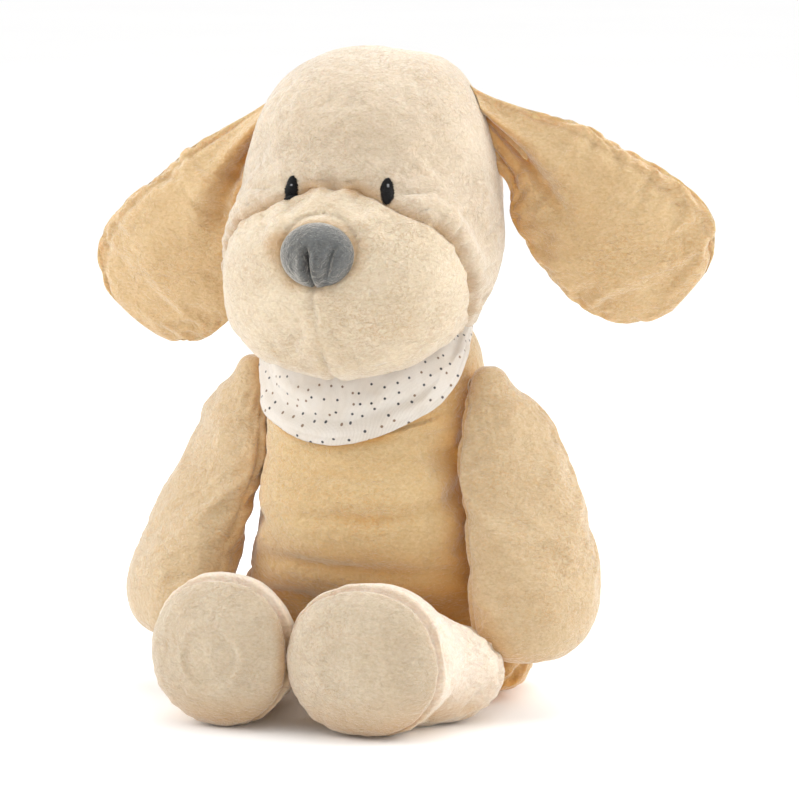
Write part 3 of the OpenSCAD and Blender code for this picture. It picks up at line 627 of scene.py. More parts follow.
def head_surface(u, a, out):
    p = station_point(HEAD, u, a)
    du = station_point(HEAD, u + 0.05, a) - station_point(HEAD, u - 0.05, a)
    da = station_point(HEAD, u, a + 2) - station_point(HEAD, u, a - 2)
    n = np.cross(da, du)
    n /= np.linalg.norm(n, axis=-1)[..., None]
    return p + out * n, n


def ear_skin(side, rows, cols, detail=True):
    droop = math.radians(40 if side > 0 else 54)
    reach = 110
    sweep = math.radians(12 if side > 0 else 2)
    along = np.array([math.cos(sweep) * math.cos(droop), math.sin(sweep), -math.cos(sweep) * math.sin(droop)])
    across = np.array([-math.sin(droop), 0, -math.cos(droop)])
    front = np.array([math.sin(sweep) * math.cos(droop), -math.cos(sweep), -math.sin(sweep) * math.sin(droop)])
    u = np.linspace(0, len(EAR) - 1, rows)
    s = spline(EAR, u)
    # Even steps to the tip.
    u = np.interp(np.linspace(0, 1, rows), s[:, 0] / s[-1, 0], u)
    s = spline(EAR, u)[:, None, :]
    t = -np.arange(cols) * 2 * math.pi / cols
    v = np.cos(t)[None, :]
    h = np.sin(t)[None, :]
    free = smooth(s[..., 0] / 0.3)
    v2 = np.sign(v) * np.abs(v) ** 0.9
    mid, _ = head_surface(np.full((1, 1), (9.9 + 7.35) / 2), np.full((1, 1), 9.0), 1.4)
    root, _ = head_surface(10.2 + (7.35 - 10.2) * (v2 + 1) / 2, np.full(v2.shape, 9.0), 1.0)
    broad = 4.0 * bell(s[..., 0], 0.12, 0.16) if side > 0 else -3.5 * bell(s[..., 0], 0.35, 0.25)
    low = 2.5 * smooth((s[..., 0] - 0.3) / 0.4)
    width = np.where(v2 < 0, v2 * (s[..., 1] + broad), v2 * (s[..., 2] + low))
    thick = s[..., 3] * np.sign(h) * np.abs(h) ** 0.85 * np.maximum(0.55, free)
    dent = np.zeros_like(width)
    U = s[..., 0] + 0 * v2
    if detail:
        # The pleat: a fold that starts at the root and runs out along the ear on its front.
        line = -0.22 + 0.95 * U
        fade_out = 1 - smooth((U - 0.12) / 0.5)
        dent = dent - 6.5 * bell(v2, line, 0.09 + 0.14 * U) * fade_out
        dent = dent + 4.0 * bell(v2 - line + 0.30 + 0.1 * U, 0, 0.17 + 0.1 * U) * fade_out
        line2 = 0.52 + 0.2 * U
        dent = dent - 3.2 * bell(v2, line2, 0.10 + 0.12 * U) * (1 - smooth((U - 0.05) / 0.35))
        # Rolled rim with a seam just inside the upper edge.
        rim = bell(v2 + 0.86, 0, 0.05) * smooth((U - 0.08) / 0.1) * (h > 0)
        dent = dent - 1.3 * rim
    P = (mid + (1 - free)[..., None] * (root - mid) + (s[..., 0] * reach)[..., None] * along
         + (free * width)[..., None] * across + ((s[..., 4] + thick + dent * (h > 0)))[..., None] * front)
    return P, U, v2 + 0 * U, h + 0 * U


def make_ear(side):
    seed = 150 if side > 0 else 170
    Pc, Uc, _, Hc = ear_skin(side, 40, 48, False)
    pins = np.zeros(Pc.shape[:2])
    pins[np.abs(Hc) < 0.1] = 1.0
    pins[Uc < 0.12] = 1.0
    move = puff(Pc, pins, 0.06, 1.6, 14, 1.6)
    rows, cols = 120, 190
    P, U, V, H = ear_skin(side, rows, cols)
    plain_ear = ear_skin(side, rows, cols, False)[0]
    # Where the pleat and rim sink into the front, for painted shade in them.
    crease_shade = np.clip((np.linalg.norm(P - plain_ear, axis=-1) - 1.0) / 4.0, 0, 1) * (H > 0)
    crease_shade = crease_shade * (((P - plain_ear)[..., 1]) > 0)
    P = relax(P, 2) + upsample(move, *P.shape[:2]) * smooth((U - 0.08) / 0.15)[..., None]
    n = normals(P)
    d = lumps(P, 1.0, 28, seed) + lumps(P, 0.45, 12, seed + 1)
    d += crumple(P, seed + 3, 0.26, 6.5, (1, 1, 1.3))
    d *= 0.35 + 0.65 * smooth(np.abs(H) / 0.55)
    puck = noise_at(U * 24, 0, H, seed + 4)
    edge = np.abs(H)
    d -= 0.9 * bell(H, 0.02, 0.09)
    d += 0.28 * puck * bell(edge, 0.35, 0.25)
    gathers = noise_at(V * 3.2, U * 2.5, H * 0.6, seed + 5)
    d += 1.5 * gathers * (1 - smooth(U / 0.35))
    P = P + n * (d * smooth((U - 0.01) / 0.08) * smooth((1.0 - U) / 0.02 + 0.3))[..., None]
    return oriented(head_frame(mirrored(P, side)), side), {"crease_shade": oriented(crease_shade, side)}


# ---------- materials ----------

def new_material(name):
    m = bpy.data.materials.new(name)
    m.use_nodes = True
    tree = m.node_tree
    return m, tree, tree.nodes["Principled BSDF"]


def plug(tree, value, socket):
    """Links an output to the socket, or sets the socket to a plain value."""
    if hasattr(value, "links"):
        tree.links.new(value, socket)
    else:
        socket.default_value = value


def add(tree, kind, inputs=(), **settings):
    """New node with the given settings and inputs."""
    node = tree.nodes.new(kind)
    for key, value in settings.items():
        setattr(node, key, value)
    for key, value in dict(inputs).items():
        plug(tree, value, node.inputs[key])
    return node


def dial(tree, shader, **values):
    """Sets the shader's inputs; an underscore stands for a space in an input's name."""
    for key, value in values.items():
        plug(tree, value, shader.inputs[key.replace("_", " ")])


def object_place(tree):
    return add(tree, "ShaderNodeTexCoord").outputs["Object"]


def noise_node(tree, source, scale, detail=3.0, rough=0.55, distortion=0.0):
    return add(tree, "ShaderNodeTexNoise", {"Vector": source, "Scale": scale, "Detail": detail, "Roughness": rough,
                                            "Distortion": distortion})


def ramp(tree, source, stops):
    """Colour ramp whose stops are colours or shades of grey."""
    r = add(tree, "ShaderNodeValToRGB", {"Fac": source})
    e = r.color_ramp.elements
    while len(e) < len(stops):
        e.new(0.5)
    for k, (pos, colour) in enumerate(stops):
        e[k].position = pos
        e[k].color = (*colour, 1) if isinstance(colour, tuple) else (colour, colour, colour, 1)
    return r.outputs["Color"]


def mix_colour(tree, fac, a, b, blend="MIX"):
    m = add(tree, "ShaderNodeMix", data_type="RGBA", blend_type=blend, clamp_factor=True)
    plug(tree, fac, m.inputs["Factor"])
    for key, value in (("A", a), ("B", b)):
        socket = [s for s in m.inputs if s.name == key and s.type == "RGBA"][0]
        plug(tree, (*value, 1) if isinstance(value, tuple) else value, socket)
    return [s for s in m.outputs if s.type == "RGBA"][0]


def bump_node(tree, height, strength, distance, under=None, invert=False):
    b = add(tree, "ShaderNodeBump", {"Height": height, "Strength": strength, "Distance": distance}, invert=invert)
    if under:
        tree.links.new(under, b.inputs["Normal"])
    return b.outputs["Normal"]


def shade_by_occlusion(tree, base, painted_shade, stops):
    """Paints shade: turns the base colour towards a warm shade colour where a piece lies shut in between the others.
    """
    occ = add(tree, "ShaderNodeAttribute", attribute_name="painted_shade")
    return mix_colour(tree, ramp(tree, occ.outputs["Fac"], stops), base, painted_shade)


def plush(name, light, mid, painted_shade, pile=1.0):
    """Short-pile plush: crushed tufts, tone patches, and painted warm shade where it lies shut in between the
    pieces.
    """
    m, t, p = new_material(name)
    vec = object_place(t)
    drawn = add(t, "ShaderNodeMapping", {"Vector": vec, "Scale": (1, 1, 1.5)}).outputs["Vector"]
    tuft = noise_node(t, drawn, 620, 4, 0.62, 0.4)
    clump = noise_node(t, drawn, 190, 3, 0.55, 0.9)
    patch = noise_node(t, vec, 34, 2, 0.5)
    fibre = noise_node(t, vec, 1900, 2, 0.6)
    base = mix_colour(t, ramp(t, tuft.outputs["Fac"], [(0.30, 0.30), (0.66, 1)]), mid, light)
    base = mix_colour(t, 0.32, base, ramp(t, clump.outputs["Fac"], [(0.30, 0.80), (0.62, 1)]), "MULTIPLY")
    patches = ramp(t, patch.outputs["Fac"], [(0.36, (0.93, 0.90, 0.86)), (0.62, 1)])
    base = mix_colour(t, 0.8, base, patches, "MULTIPLY")
    # Crushed pile: fine broken cracks in patches, drawn in the warm colour of the painted shade.
    warp = mix_colour(t, 0.012, drawn, clump.outputs["Color"], "ADD")
    cells = add(t, "ShaderNodeTexVoronoi", feature="DISTANCE_TO_EDGE")
    dial(t, cells, Scale=300, Vector=warp)
    line = ramp(t, cells.outputs["Distance"], [(0.0, 1), (0.10, 0)])
    part = ramp(t, noise_node(t, vec, 38, 2, 0.5).outputs["Fac"], [(0.36, 0.06), (0.64, 0.44)])
    crack = mix_colour(t, 1.0, line, part, "MULTIPLY")
    base = mix_colour(t, crack, base, painted_shade)
    # Painted shade: the colour turns warm and dark by the occlusion attribute.
    base = shade_by_occlusion(t, base, painted_shade, [(0.10, 0), (0.40, 0.42), (0.80, 0.95)])
    relief = bump_node(t, clump.outputs["Fac"], 0.6 * pile, 0.0019)
    relief = bump_node(t, crack, 0.55 * pile, 0.0008, relief, invert=True)
    relief = bump_node(t, tuft.outputs["Fac"], 0.6 * pile, 0.0009, relief)
    relief = bump_node(t, fibre.outputs["Fac"], 0.35 * pile, 0.0004, relief)
    dial(t, p, Base_Color=base, Normal=relief, Roughness=0.92, Specular_IOR_Level=0.12, Sheen_Weight=1.0,
         Sheen_Roughness=0.42, Sheen_Tint=(1.0, 0.94, 0.85, 1), Subsurface_Weight=0.22,
         Subsurface_Radius=(1.0, 0.55, 0.28), Subsurface_Scale=0.004)
    return m


# Each plush gets light and mid tuft tones, then the warm colour of its painted shade, which also colours the cracks
# in the pile.
M_HEAD = plush("plush_head", (0.70, 0.59, 0.455), (0.53, 0.42, 0.295), (0.46, 0.27, 0.12))
M_MUZZLE = plush("plush_muzzle", (0.75, 0.64, 0.48), (0.56, 0.43, 0.285), (0.50, 0.28, 0.11))
M_BODY = plush("plush_body", (0.72, 0.54, 0.305), (0.54, 0.36, 0.165), (0.66, 0.29, 0.035))
M_ARM = plush("plush_arm", (0.66, 0.51, 0.325), (0.50, 0.35, 0.19), (0.60, 0.29, 0.07))
M_EAR = plush("plush_ear", (0.72, 0.53, 0.31), (0.54, 0.36, 0.165), (0.60, 0.28, 0.06))
M_LEG = plush("plush_leg", (0.90, 0.80, 0.68), (0.75, 0.62, 0.495), (0.60, 0.38, 0.18))
M_SOLE = plush("plush_sole", (0.64, 0.54, 0.405), (0.48, 0.375, 0.26), (0.50, 0.30, 0.14))
M_NOSE = plush("nose_pile", (0.17, 0.175, 0.172), (0.075, 0.079, 0.078), (0.012, 0.012, 0.014), 0.9)


def thread_material(name, colour, dark, gloss=0.5):
    m, t, p = new_material(name)
    twist = noise_node(t, object_place(t), 2600, 2, 0.5).outputs["Fac"]
    dial(t, p, Base_Color=ramp(t, twist, [(0.3, dark), (0.7, colour)]), Roughness=gloss, Specular_IOR_Level=0.22,
         Normal=bump_node(t, twist, 0.5, 0.0003))
    return m


M_THREAD = thread_material("sewing_thread", (0.86, 0.74, 0.56), (0.62, 0.48, 0.32))
M_EYE = thread_material("eye_thread", (0.006, 0.0055, 0.0055), (0.002, 0.002, 0.002), 0.5)
M_GLINT = thread_material("glint_thread", (0.42, 0.43, 0.44), (0.22, 0.22, 0.23), 0.4)


def muslin():
    """Off-white woven muslin with small printed dots."""
    m, t, p = new_material("muslin_dots")
    v = add(t, "ShaderNodeUVMap", uv_map="cloth").outputs["UV"]
    wob = noise_node(t, v, 90, 2, 0.5).outputs["Fac"]
    weave = []
    for axis, scale in (("X", 640.0), ("Y", 690.0)):
        bands = add(t, "ShaderNodeTexWave", {"Vector": v, "Scale": scale, "Distortion": 1.4, "Detail": 2,
                                             "Detail Scale": 2}, wave_type="BANDS", bands_direction=axis)
        weave.append(bands.outputs["Color"])
    cloth = mix_colour(t, 0.5, *weave, "MULTIPLY")
    tone = ramp(t, cloth, [(0.0, (0.60, 0.545, 0.48)), (0.6, (0.82, 0.77, 0.705))])
    base = mix_colour(t, 1.0, tone, ramp(t, wob, [(0.35, (0.95, 0.93, 0.90)), (0.65, 1)]), "MULTIPLY")
    vor = add(t, "ShaderNodeTexVoronoi", voronoi_dimensions="2D")
    dial(t, vor, Vector=v, Scale=196, Randomness=0.72)
    dot = ramp(t, vor.outputs["Distance"], [(0.085, 1), (0.125, 0)])
    pick = add(t, "ShaderNodeSeparateColor", {"Color": vor.outputs["Color"]}).outputs[0]
    ink = ramp(t, pick, [(0.0, (0.03, 0.03, 0.035)), (0.62, (0.06, 0.06, 0.07)), (0.66, (0.24, 0.15, 0.09)),
                         (1.0, (0.20, 0.13, 0.09))])
    # The dots and weave are turned towards a painted grey-brown shade by the shade attribute; this cloth is given no
    # such attribute.
    base = shade_by_occlusion(t, mix_colour(t, dot, base, ink), (0.42, 0.36, 0.30), [(0.15, 0), (0.9, 0.8)])
    relief = bump_node(t, wob, 0.25, 0.001, bump_node(t, cloth, 0.5, 0.0003))
    dial(t, p, Base_Color=base, Normal=relief, Roughness=0.85, Sheen_Weight=0.25, Sheen_Roughness=0.5,
         Subsurface_Weight=0.15, Subsurface_Radius=(1, 0.8, 0.6), Subsurface_Scale=0.002)
    return m


M_MUSLIN = muslin()


def satin_tape():
    m, t, p = new_material("label_satin")
    sheen = add(t, "ShaderNodeTexWave", {"Vector": object_place(t), "Scale": 700, "Distortion": 0.6}).outputs["Fac"]
    dial(t, p, Base_Color=ramp(t, sheen, [(0.2, (0.80, 0.79, 0.77)), (0.8, (0.92, 0.915, 0.90))]), Roughness=0.42,
         Normal=bump_node(t, sheen, 0.3, 0.0002))
    return m


M_LABEL = satin_tape()

# ---------- neckerchief ----------

# Neckerchief: degrees round the neck from the front, how far its lower edge hangs.
KERCHIEF = np.array([[-180, 0], [-100, 0], [-80, 0.04], [-62, 0.5], [-45, 0.88], [-15, 1.12], [0, 1.14], [14, 1.04],
                     [30, 0.88], [50, 0.72], [66, 0.46], [80, 0.12], [100, 0], [180, 0]])
FRONT = np.cross([1, 0, 0], NECK)


def kerchief_grid(rows, cols):
    """Closed strip: outer face down from the upper edge, round the hem, and up the inner face."""
    psi = np.linspace(-180, 180, cols, endpoint=False)
    drop = np.interp(psi, KERCHIEF[:, 0], KERCHIEF[:, 1])
    kernel = np.hanning(int(cols * 0.07) | 1)
    kernel /= kernel.sum()
    pad = len(kernel) // 2
    drop = np.convolve(np.concatenate([drop[-pad:], drop, drop[:pad]]), kernel, "valid")
    low = 61 + 22 * drop
    t = np.linspace(0, 1, rows)[:, None]
    polar = 43 + (low[None, :] - 43) * t
    ps = np.radians(psi)[None, :] + 0 * t
    flare = 0.007 * np.maximum(0, polar - 70) ** 2 + 4.5 * bell(psi[None, :], 66, 20.0) * smooth((polar - 52) / 16)
    r = BALL + 0.95 + 1.6 + flare
    dirs = (np.sin(ps)[..., None] * np.array([1, 0, 0]) + np.cos(ps)[..., None] * FRONT)
    q = np.stack([np.radians(psi)[None, :] * 9 + 0 * t, polar / 9, 0 * polar], -1)
    # Ridge along the lower edge with a soft valley above it, and drawn folds that run round the neck.
    depth = (low[None, :] - polar)
    frontness = bell(psi[None, :], 0, 75.0)
    fold = 1.7 * bell(depth, 5.0, 3.0) - 1.5 * bell(depth - 11.5 + psi[None, :] * 0.05, 0, 2.6)
    fold = fold * (0.45 + 0.55 * frontness)
    slant = noise_at(psi[None, :] / 26.0 + polar / 14.0, polar / 9.0 - psi[None, :] / 60.0, 0, 201)
    fold = fold + 1.7 * slant + 0.6 * noise(q * 1.3, 202) + 0.18 * noise(q * 4.1, 203)
    r = r + np.clip(fold, -1.35, 2.4) * smooth(t / 0.12 + 0.25)
    r = r + 2.2 * smooth((polar - 74) / 9)
    r = np.clip(r, BALL + 1.6, BALL + 4.7 + 4.5 * smooth((polar - 73) / 10))
    hem = 0.35 * bell(depth, 2.6, 0.5)
    r = r - hem
    pr = np.radians(polar)
    outer = PIVOT + r[..., None] * (np.cos(pr)[..., None] * NECK + np.sin(pr)[..., None] * dirs)
    inner = PIVOT + (r - 0.9)[..., None] * (np.cos(pr)[..., None] * NECK + np.sin(pr)[..., None] * dirs)
    length = np.radians(psi)[None, :] * BALL * 0.9 + 0 * t
    down = np.radians(polar) * BALL
    return outer, inner, length, down


def make_kerchief():
    rows, cols = 60, 420
    outer, inner, ul, vl = kerchief_grid(rows, cols)
    P = to_frame(np.concatenate([outer, inner[::-1]]))
    k = np.arange(cols)
    k1 = (k + 1) % cols
    i = np.arange(len(P))[:, None] * cols
    j = ((np.arange(len(P)) + 1) % len(P))[:, None] * cols
    quads = np.stack([i + k, i + k1, j + k1, j + k], -1).reshape(-1, 4)[:, ::-1]
    obj = new_object("neckerchief_cloth", P.reshape(-1, 3), quads.tolist())
    mesh = obj.data
    uvs = mesh.uv_layers.new(name="cloth")
    U = np.concatenate([ul, ul[::-1]]).reshape(-1) * MM
    V = np.concatenate([vl, vl[::-1]]).reshape(-1) * MM
    loops = np.zeros(len(mesh.loops), np.int32)
    mesh.loops.foreach_get("vertex_index", loops)
    # The wrap column keeps its own side of the print.
    per = U[loops].reshape(-1, 4)
    wrap = (per.max(1) - per.min(1)) > 0.1
    per[wrap] = np.where(per[wrap] < 0, per[wrap] + 2 * math.pi * BALL * 0.9 * MM, per[wrap])
    uvs.data.foreach_set("uv", np.stack([per.reshape(-1), V[loops]], -1).reshape(-1).astype(np.float32))
    mesh.materials.append(M_MUSLIN)
    return obj


# ---------- nose and eyes ----------

def make_nose():
    """Stuffed oval with a dart sewn up its lower half."""
    rows, cols = 70, 140
    t = np.linspace(0.03, 1, rows)[:, None]
    a = np.arange(cols)[None, :] * 2 * math.pi / cols
    rad = np.sin(t * math.pi / 2) ** 0.85
    rx, rz = 16.2, 13.6
    x = rx * rad * np.cos(a)
    z = rz * rad * np.sin(a) * np.where(np.sin(a) > 0, 1.0, 1.03)
    dome = 10.6 * (1 - rad ** 2.5) ** 0.6
    # Dart: a narrow slit from the middle to the lower edge, with ridges on both sides.
    low = smooth((5 - z) / 6)
    slit = bell(x + 1.2 + 0.06 * z, 0, 0.85) * low
    ridge = bell(x + 4.2, 0, 2.3) * low + 0.9 * bell(x - 2.4 + 0.05 * z, 0, 2.2) * low
    valley = bell(x - 6.8, 0.28 * (z + 6), 1.7) * smooth((7 - z) / 6)
    dome = dome - 3.6 * slit + 1.5 * ridge * (1 - rad ** 6) - 3.0 * valley * (1 - rad ** 8)
    q = np.stack([x / 3.4, z / 3.4, 0 * x], -1)
    dome = dome + 0.22 * noise(q, 301) + 0.10 * noise(q * 2.4, 302)
    P = np.stack([x, -dome, z], -1)[::-1]
    skirt = np.stack([x[-1], np.full(cols, 1.6), z[-1]], -1)
    skirt2 = np.stack([x[-1] * 0.9, np.full(cols, 2.4), z[-1] * 0.9], -1)
    P = np.concatenate([skirt2[None], skirt[None], P])
    tilt = math.radians(-4)
    y = P[..., 1] * math.cos(tilt) - P[..., 2] * math.sin(tilt)
    zz = P[..., 1] * math.sin(tilt) + P[..., 2] * math.cos(tilt)
    P = np.stack([P[..., 0], y, zz], -1) + np.array([-0.6, -71.4, 201.6])
    return head_frame(P)


def tube(points, radius, sides=7):
    """Thin thread along points, tapered at its ends."""
    pts = np.asarray(points, float)
    n = len(pts)
    tangent = np.gradient(pts, axis=0)
    tangent /= np.linalg.norm(tangent, axis=1)[:, None]
    ref = np.array([0.3, 0.1, 1.0])
    side = np.cross(tangent, ref)
    side /= np.linalg.norm(side, axis=1)[:, None]
    other = np.cross(side, tangent)
    ang = np.arange(sides) * 2 * math.pi / sides
    rr = radius * np.clip(np.minimum(np.arange(n), np.arange(n)[::-1]) / 1.2 + 0.35, 0, 1)
    spoke = np.cos(ang)[None, :, None] * side[:, None] + np.sin(ang)[None, :, None] * other[:, None]
    return pts[:, None] + rr[:, None, None] * spoke


def joined_tubes(name, rings, material):
    """One object of many threads, each closed at both ends."""
    faces, base = [], 0
    for ring in rings:
        r, c = ring.shape[:2]
        k = np.arange(c)
        faces += wrapped_quads(r, c, base)
        faces += [(base + k[::-1]).tolist(), (base + (r - 1) * c + k).tolist()]
        base += r * c
    obj = new_object(name, np.concatenate([ring.reshape(-1, 3) for ring in rings]), faces)
    obj.data.materials.append(material)
    return obj


def make_eye(side, tree):
    """Satin stitch: overlapping threads laid side by side with a ragged edge."""
    rng = np.random.RandomState(400 + side)
    c = station_point(HEAD, np.array(EYE_ROW), np.array(EYE_ANGLE + side * EYE_SPREAD))
    _, n = head_surface(np.array(EYE_ROW), np.array(EYE_ANGLE + side * EYE_SPREAD), 0)
    up = np.array([0, 0, 1.0]) - n * n[2]
    up /= np.linalg.norm(up)
    right = np.cross(up, n)
    rings, glint = [], []
    height, width = 10.6, 5.8
    count = 26
    for layer in range(2):
        for k in range(count):
            h = (k + 0.5) / count * 2 - 1
            half = width / 2 * math.sqrt(max(0.04, 1 - abs(h) ** 2.4)) * (0.92 + 0.14 * rng.rand())
            lean = 0.35 if layer else -0.2
            pts = []
            for s in np.linspace(-1, 1, 7):
                x = s * half + 0.12 * rng.randn() * (abs(s) > 0.9)
                y = h * height / 2 + lean * s + 0.05 * rng.randn()
                p = c + right * x + up * y
                origin = head_frame(p + n * 12)
                direction = head_frame(p - n * 12) - origin
                hit = tree.ray_cast(Vector(origin * MM), Vector(direction).normalized(), 0.03)[0]
                base = np.array(hit) / MM if hit else head_frame(p)
                nn = -direction / np.linalg.norm(direction)
                dome = 0.75 * (1 - s * s) * math.sqrt(max(0, 1 - h * h))
                pts.append(base + nn * (0.22 + 0.16 * layer + dome - 0.25 * abs(s) ** 6))
            rings.append(tube(pts, 0.27))
            if layer and side > 0 and abs(h - 0.42) < 0.14 or layer and side < 0 and abs(h - 0.30) < 0.10:
                mid = pts[4] + (pts[4] - pts[3]) * 0.1
                start = pts[3] - (pts[4] - pts[3]) * 0.1
                glint.append(tube([start, (pts[3] + mid) / 2, mid] - np.array([0, 0.22, 0]), 0.24))
    obj = joined_tubes("eye_left_satin" if side > 0 else "eye_right_satin", rings, M_EYE)
    spark = joined_tubes("eye_left_glint" if side > 0 else "eye_right_glint", glint, M_GLINT) if glint else None
    return obj, spark


# ---------- build ----------

def points_and_faces(mesh):
    co = np.zeros(len(mesh.vertices) * 3, np.float32)
    mesh.vertices.foreach_get("co", co)
    return co.reshape(-1, 3), [list(poly.vertices) for poly in mesh.polygons]


grids = {"torso_skin": make_torso()}
grids["head_skin"] = make_head()
for label, side in (("left", 1), ("right", -1)):
    grids[f"arm_{label}_skin"] = make_arm(side)
    grids[f"leg_{label}_skin"] = make_leg(side)
    grids[f"ear_{label}_skin"] = make_ear(side)
grids["nose_pad"] = (make_nose(), {})

objects = {}
kerchief = make_kerchief()

# Occlusion of each point of the plush by the pieces round it, for the painted warm shade in the folds.
verts, faces, base = [], [], 0
for name, (P, _) in grids.items():
    step = 4 if name != "nose_pad" else 3
    Q = P[::step, ::step]
    verts.append(Q.reshape(-1, 3) * MM)
    faces += wrapped_quads(*Q.shape[:2], base)
    base += Q.shape[0] * Q.shape[1]
points, polygons = points_and_faces(kerchief.data)
verts.append(points)
faces += [[v + base for v in polygon] for polygon in polygons]
base += len(points)
verts.append(np.array([[-1, -1, 0], [1, -1, 0], [1, 1, 0], [-1, 1, 0]], float))
faces.append([base, base + 1, base + 2, base + 3])
everything = BVHTree.FromPolygons(np.concatenate(verts).tolist(), faces)

rays = []
for k in range(22):
    zz = math.sqrt((k + 0.5) / 22)
    ph = k * 2.399963
    rays.append((math.sqrt(1 - zz * zz) * math.cos(ph), math.sqrt(1 - zz * zz) * math.sin(ph), zz))
rays = np.array(rays)


def occlusion(P, N, reach):
    out = np.zeros(P.shape[:2])
    for i in range(P.shape[0]):
        for j in range(P.shape[1]):
            n = N[i, j]
            t1 = np.cross(n, [0.3, 0.9, 0.1])
            t1 /= np.linalg.norm(t1) + 1e-9
            t2 = np.cross(n, t1)
            o = Vector((P[i, j] + n * 1.2) * MM)
            total = 0.0
            for r in rays:
                d = Vector(r[0] * t1 + r[1] * t2 + r[2] * n)
                hit = everything.ray_cast(o, d, reach)
                if hit[0] is not None:
                    total += 1 - hit[3] / reach
            out[i, j] = total / len(rays)
    return out


def painted_shade_map(P, step, reach=0.055):
    Q = P[::step, ::step]
    occ = occlusion(Q, normals(P)[::step, ::step], reach)
    occ = (occ + np.roll(occ, 1, 1) + np.roll(occ, -1, 1)) / 3
    rows = np.clip(np.arange(P.shape[0]) / step, 0, len(occ) - 1)
    a = spline(occ[..., None], rows)[..., 0]
    ext = np.concatenate([a[:, -2:], a, a[:, :3]], 1)
    return spline(ext.T[..., None], 2 + np.arange(P.shape[1]) / step)[..., 0].T


looks = {"torso_skin": (M_BODY, 0.85), "head_skin": (M_HEAD, 0.85), "nose_pad": (M_NOSE, 0.8)}
for label in ("left", "right"):
    looks[f"arm_{label}_skin"] = (M_ARM, 0.8)
    looks[f"leg_{label}_skin"] = (M_LEG, 0.85)
    looks[f"ear_{label}_skin"] = (M_EAR, 0.45)

for name, (P, extra) in grids.items():
    material, fill = looks[name]
    step = 6 if P.shape[0] > 100 else 5
    extra = dict(extra)
    # Painted shade: occlusion, plus more along the muzzle seam and in the creases.
    painted_shade = painted_shade_map(P, step)
    if "seam" in extra:
        painted_shade = painted_shade + 0.30 * extra["seam"]
    if "crease_shade" in extra:
        painted_shade = painted_shade + 0.28 * extra.pop("crease_shade")
    extra["painted_shade"] = np.clip(painted_shade, 0, 1)
    obj = grid_object(name, P, extra)
    obj.data.materials.append(material)
    objects[name] = obj

# The muzzle and the soles have their own fabric panels.
for name, key, second in (("head_skin", "muzzle", M_MUZZLE), ("leg_left_skin", "sole", M_SOLE),
                          ("leg_right_skin", "sole", M_SOLE)):
    mesh = objects[name].data
    mesh.materials.append(second)
    values = np.zeros(len(mesh.vertices), np.float32)
    mesh.attributes[key].data.foreach_get("value", values)
    index = [1 if values[poly.vertices[0]] > 0.5 else 0 for poly in mesh.polygons]
    mesh.polygons.foreach_set("material_index", index)

points, polygons = points_and_faces(objects["head_skin"].data)
head_tree = BVHTree.FromPolygons(points.tolist(), polygons)
for side, label in ((1, "left"), (-1, "right")):
    eye, spark = make_eye(side, head_tree)
    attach(eye, "head")
    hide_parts(f"eye_{label}")
    if spark:
        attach(spark, "head")

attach(objects["torso_skin"], "torso")
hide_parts("torso_front_cover", "torso_back_cover", "seat_panel", "torso_stuffing",
            "seat_pellet_bag")
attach(objects["head_skin"], "head")
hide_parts("head_cover", "muzzle_cover", "head_stuffing", "ear_left_stitching",
            "ear_right_stitching")
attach(objects["nose_pad"], "head")
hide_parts("nose_cover", "nose_stuffing")
for label in ("left", "right"):
    arm = objects[f"arm_{label}_skin"]
    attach(arm, f"arm_{label}")
    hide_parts(f"arm_{label}_cover", f"arm_{label}_stuffing")
    leg = objects[f"leg_{label}_skin"]
    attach(leg, f"leg_{label}")
    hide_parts(f"leg_{label}_cover", f"leg_{label}_sole", f"leg_{label}_stuffing")
    ear = objects[f"ear_{label}_skin"]
    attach(ear, f"ear_{label}")
    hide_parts(f"ear_{label}_front", f"ear_{label}_back", f"ear_{label}_padding")

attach(kerchief, "kerchief")
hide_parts("neckerchief")


def make_label():
    lo, hi = (np.array(v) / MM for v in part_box("care_label"))
    centre = (lo + hi) / 2
    t = math.radians(37)
    rows, cols = 14, 22
    s = np.linspace(-1, 1, cols)[None, :] + np.zeros((rows, 1))
    r = np.linspace(0, 1, rows)[:, None] + np.zeros((1, cols))
    x = s * 9
    y = -6.5 + 10 * r        # the first 3 mm are caught in the seam
    z = 0.9 * r * np.sin(s * 2.2) * 0.5 + 0.5 * r * r
    top = np.stack([centre[0] + x * math.cos(t) - y * math.sin(t), centre[1] + x * math.sin(t) + y * math.cos(t),
                    centre[2] + z], -1)
    verts = np.concatenate([top.reshape(-1, 3), (top - [0, 0, 0.35]).reshape(-1, 3)])
    n = rows * cols
    faces = []
    for i in range(rows - 1):
        for j in range(cols - 1):
            a, b, c, d = i * cols + j, i * cols + j + 1, (i + 1) * cols + j + 1, (i + 1) * cols + j
            faces += [[a, b, c, d], [n + d, n + c, n + b, n + a]]
    for i in range(rows - 1):
        for j, flip in ((0, False), (cols - 1, True)):
            a, b = i * cols + j, (i + 1) * cols + j
            faces.append([a, b, n + b, n + a] if not flip else [b, a, n + a, n + b])
    for j in range(cols - 1):
        for i, flip in ((0, True), (rows - 1, False)):
            a, b = i * cols + j, i * cols + j + 1
            faces.append([a, b, n + b, n + a] if not flip else [b, a, n + a, n + b])
    obj = new_object("care_label_tape", verts, faces, smooth_faces=False)
    obj.data.materials.append(M_LABEL)
    return obj


tape = make_label()
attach(tape, "torso")
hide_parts("care_label")

for name in ("closing_stitches", "neck_stitching", "arm_left_stitching", "arm_right_stitching", "leg_left_stitching",
             "leg_right_stitching", "neckerchief_tack"):
    o = nodes[name]
    for s in o.material_slots:
        s.material = M_THREAD
    if not o.material_slots:
        o.data.materials.append(M_THREAD)

# ---------- floor, light and camera ----------

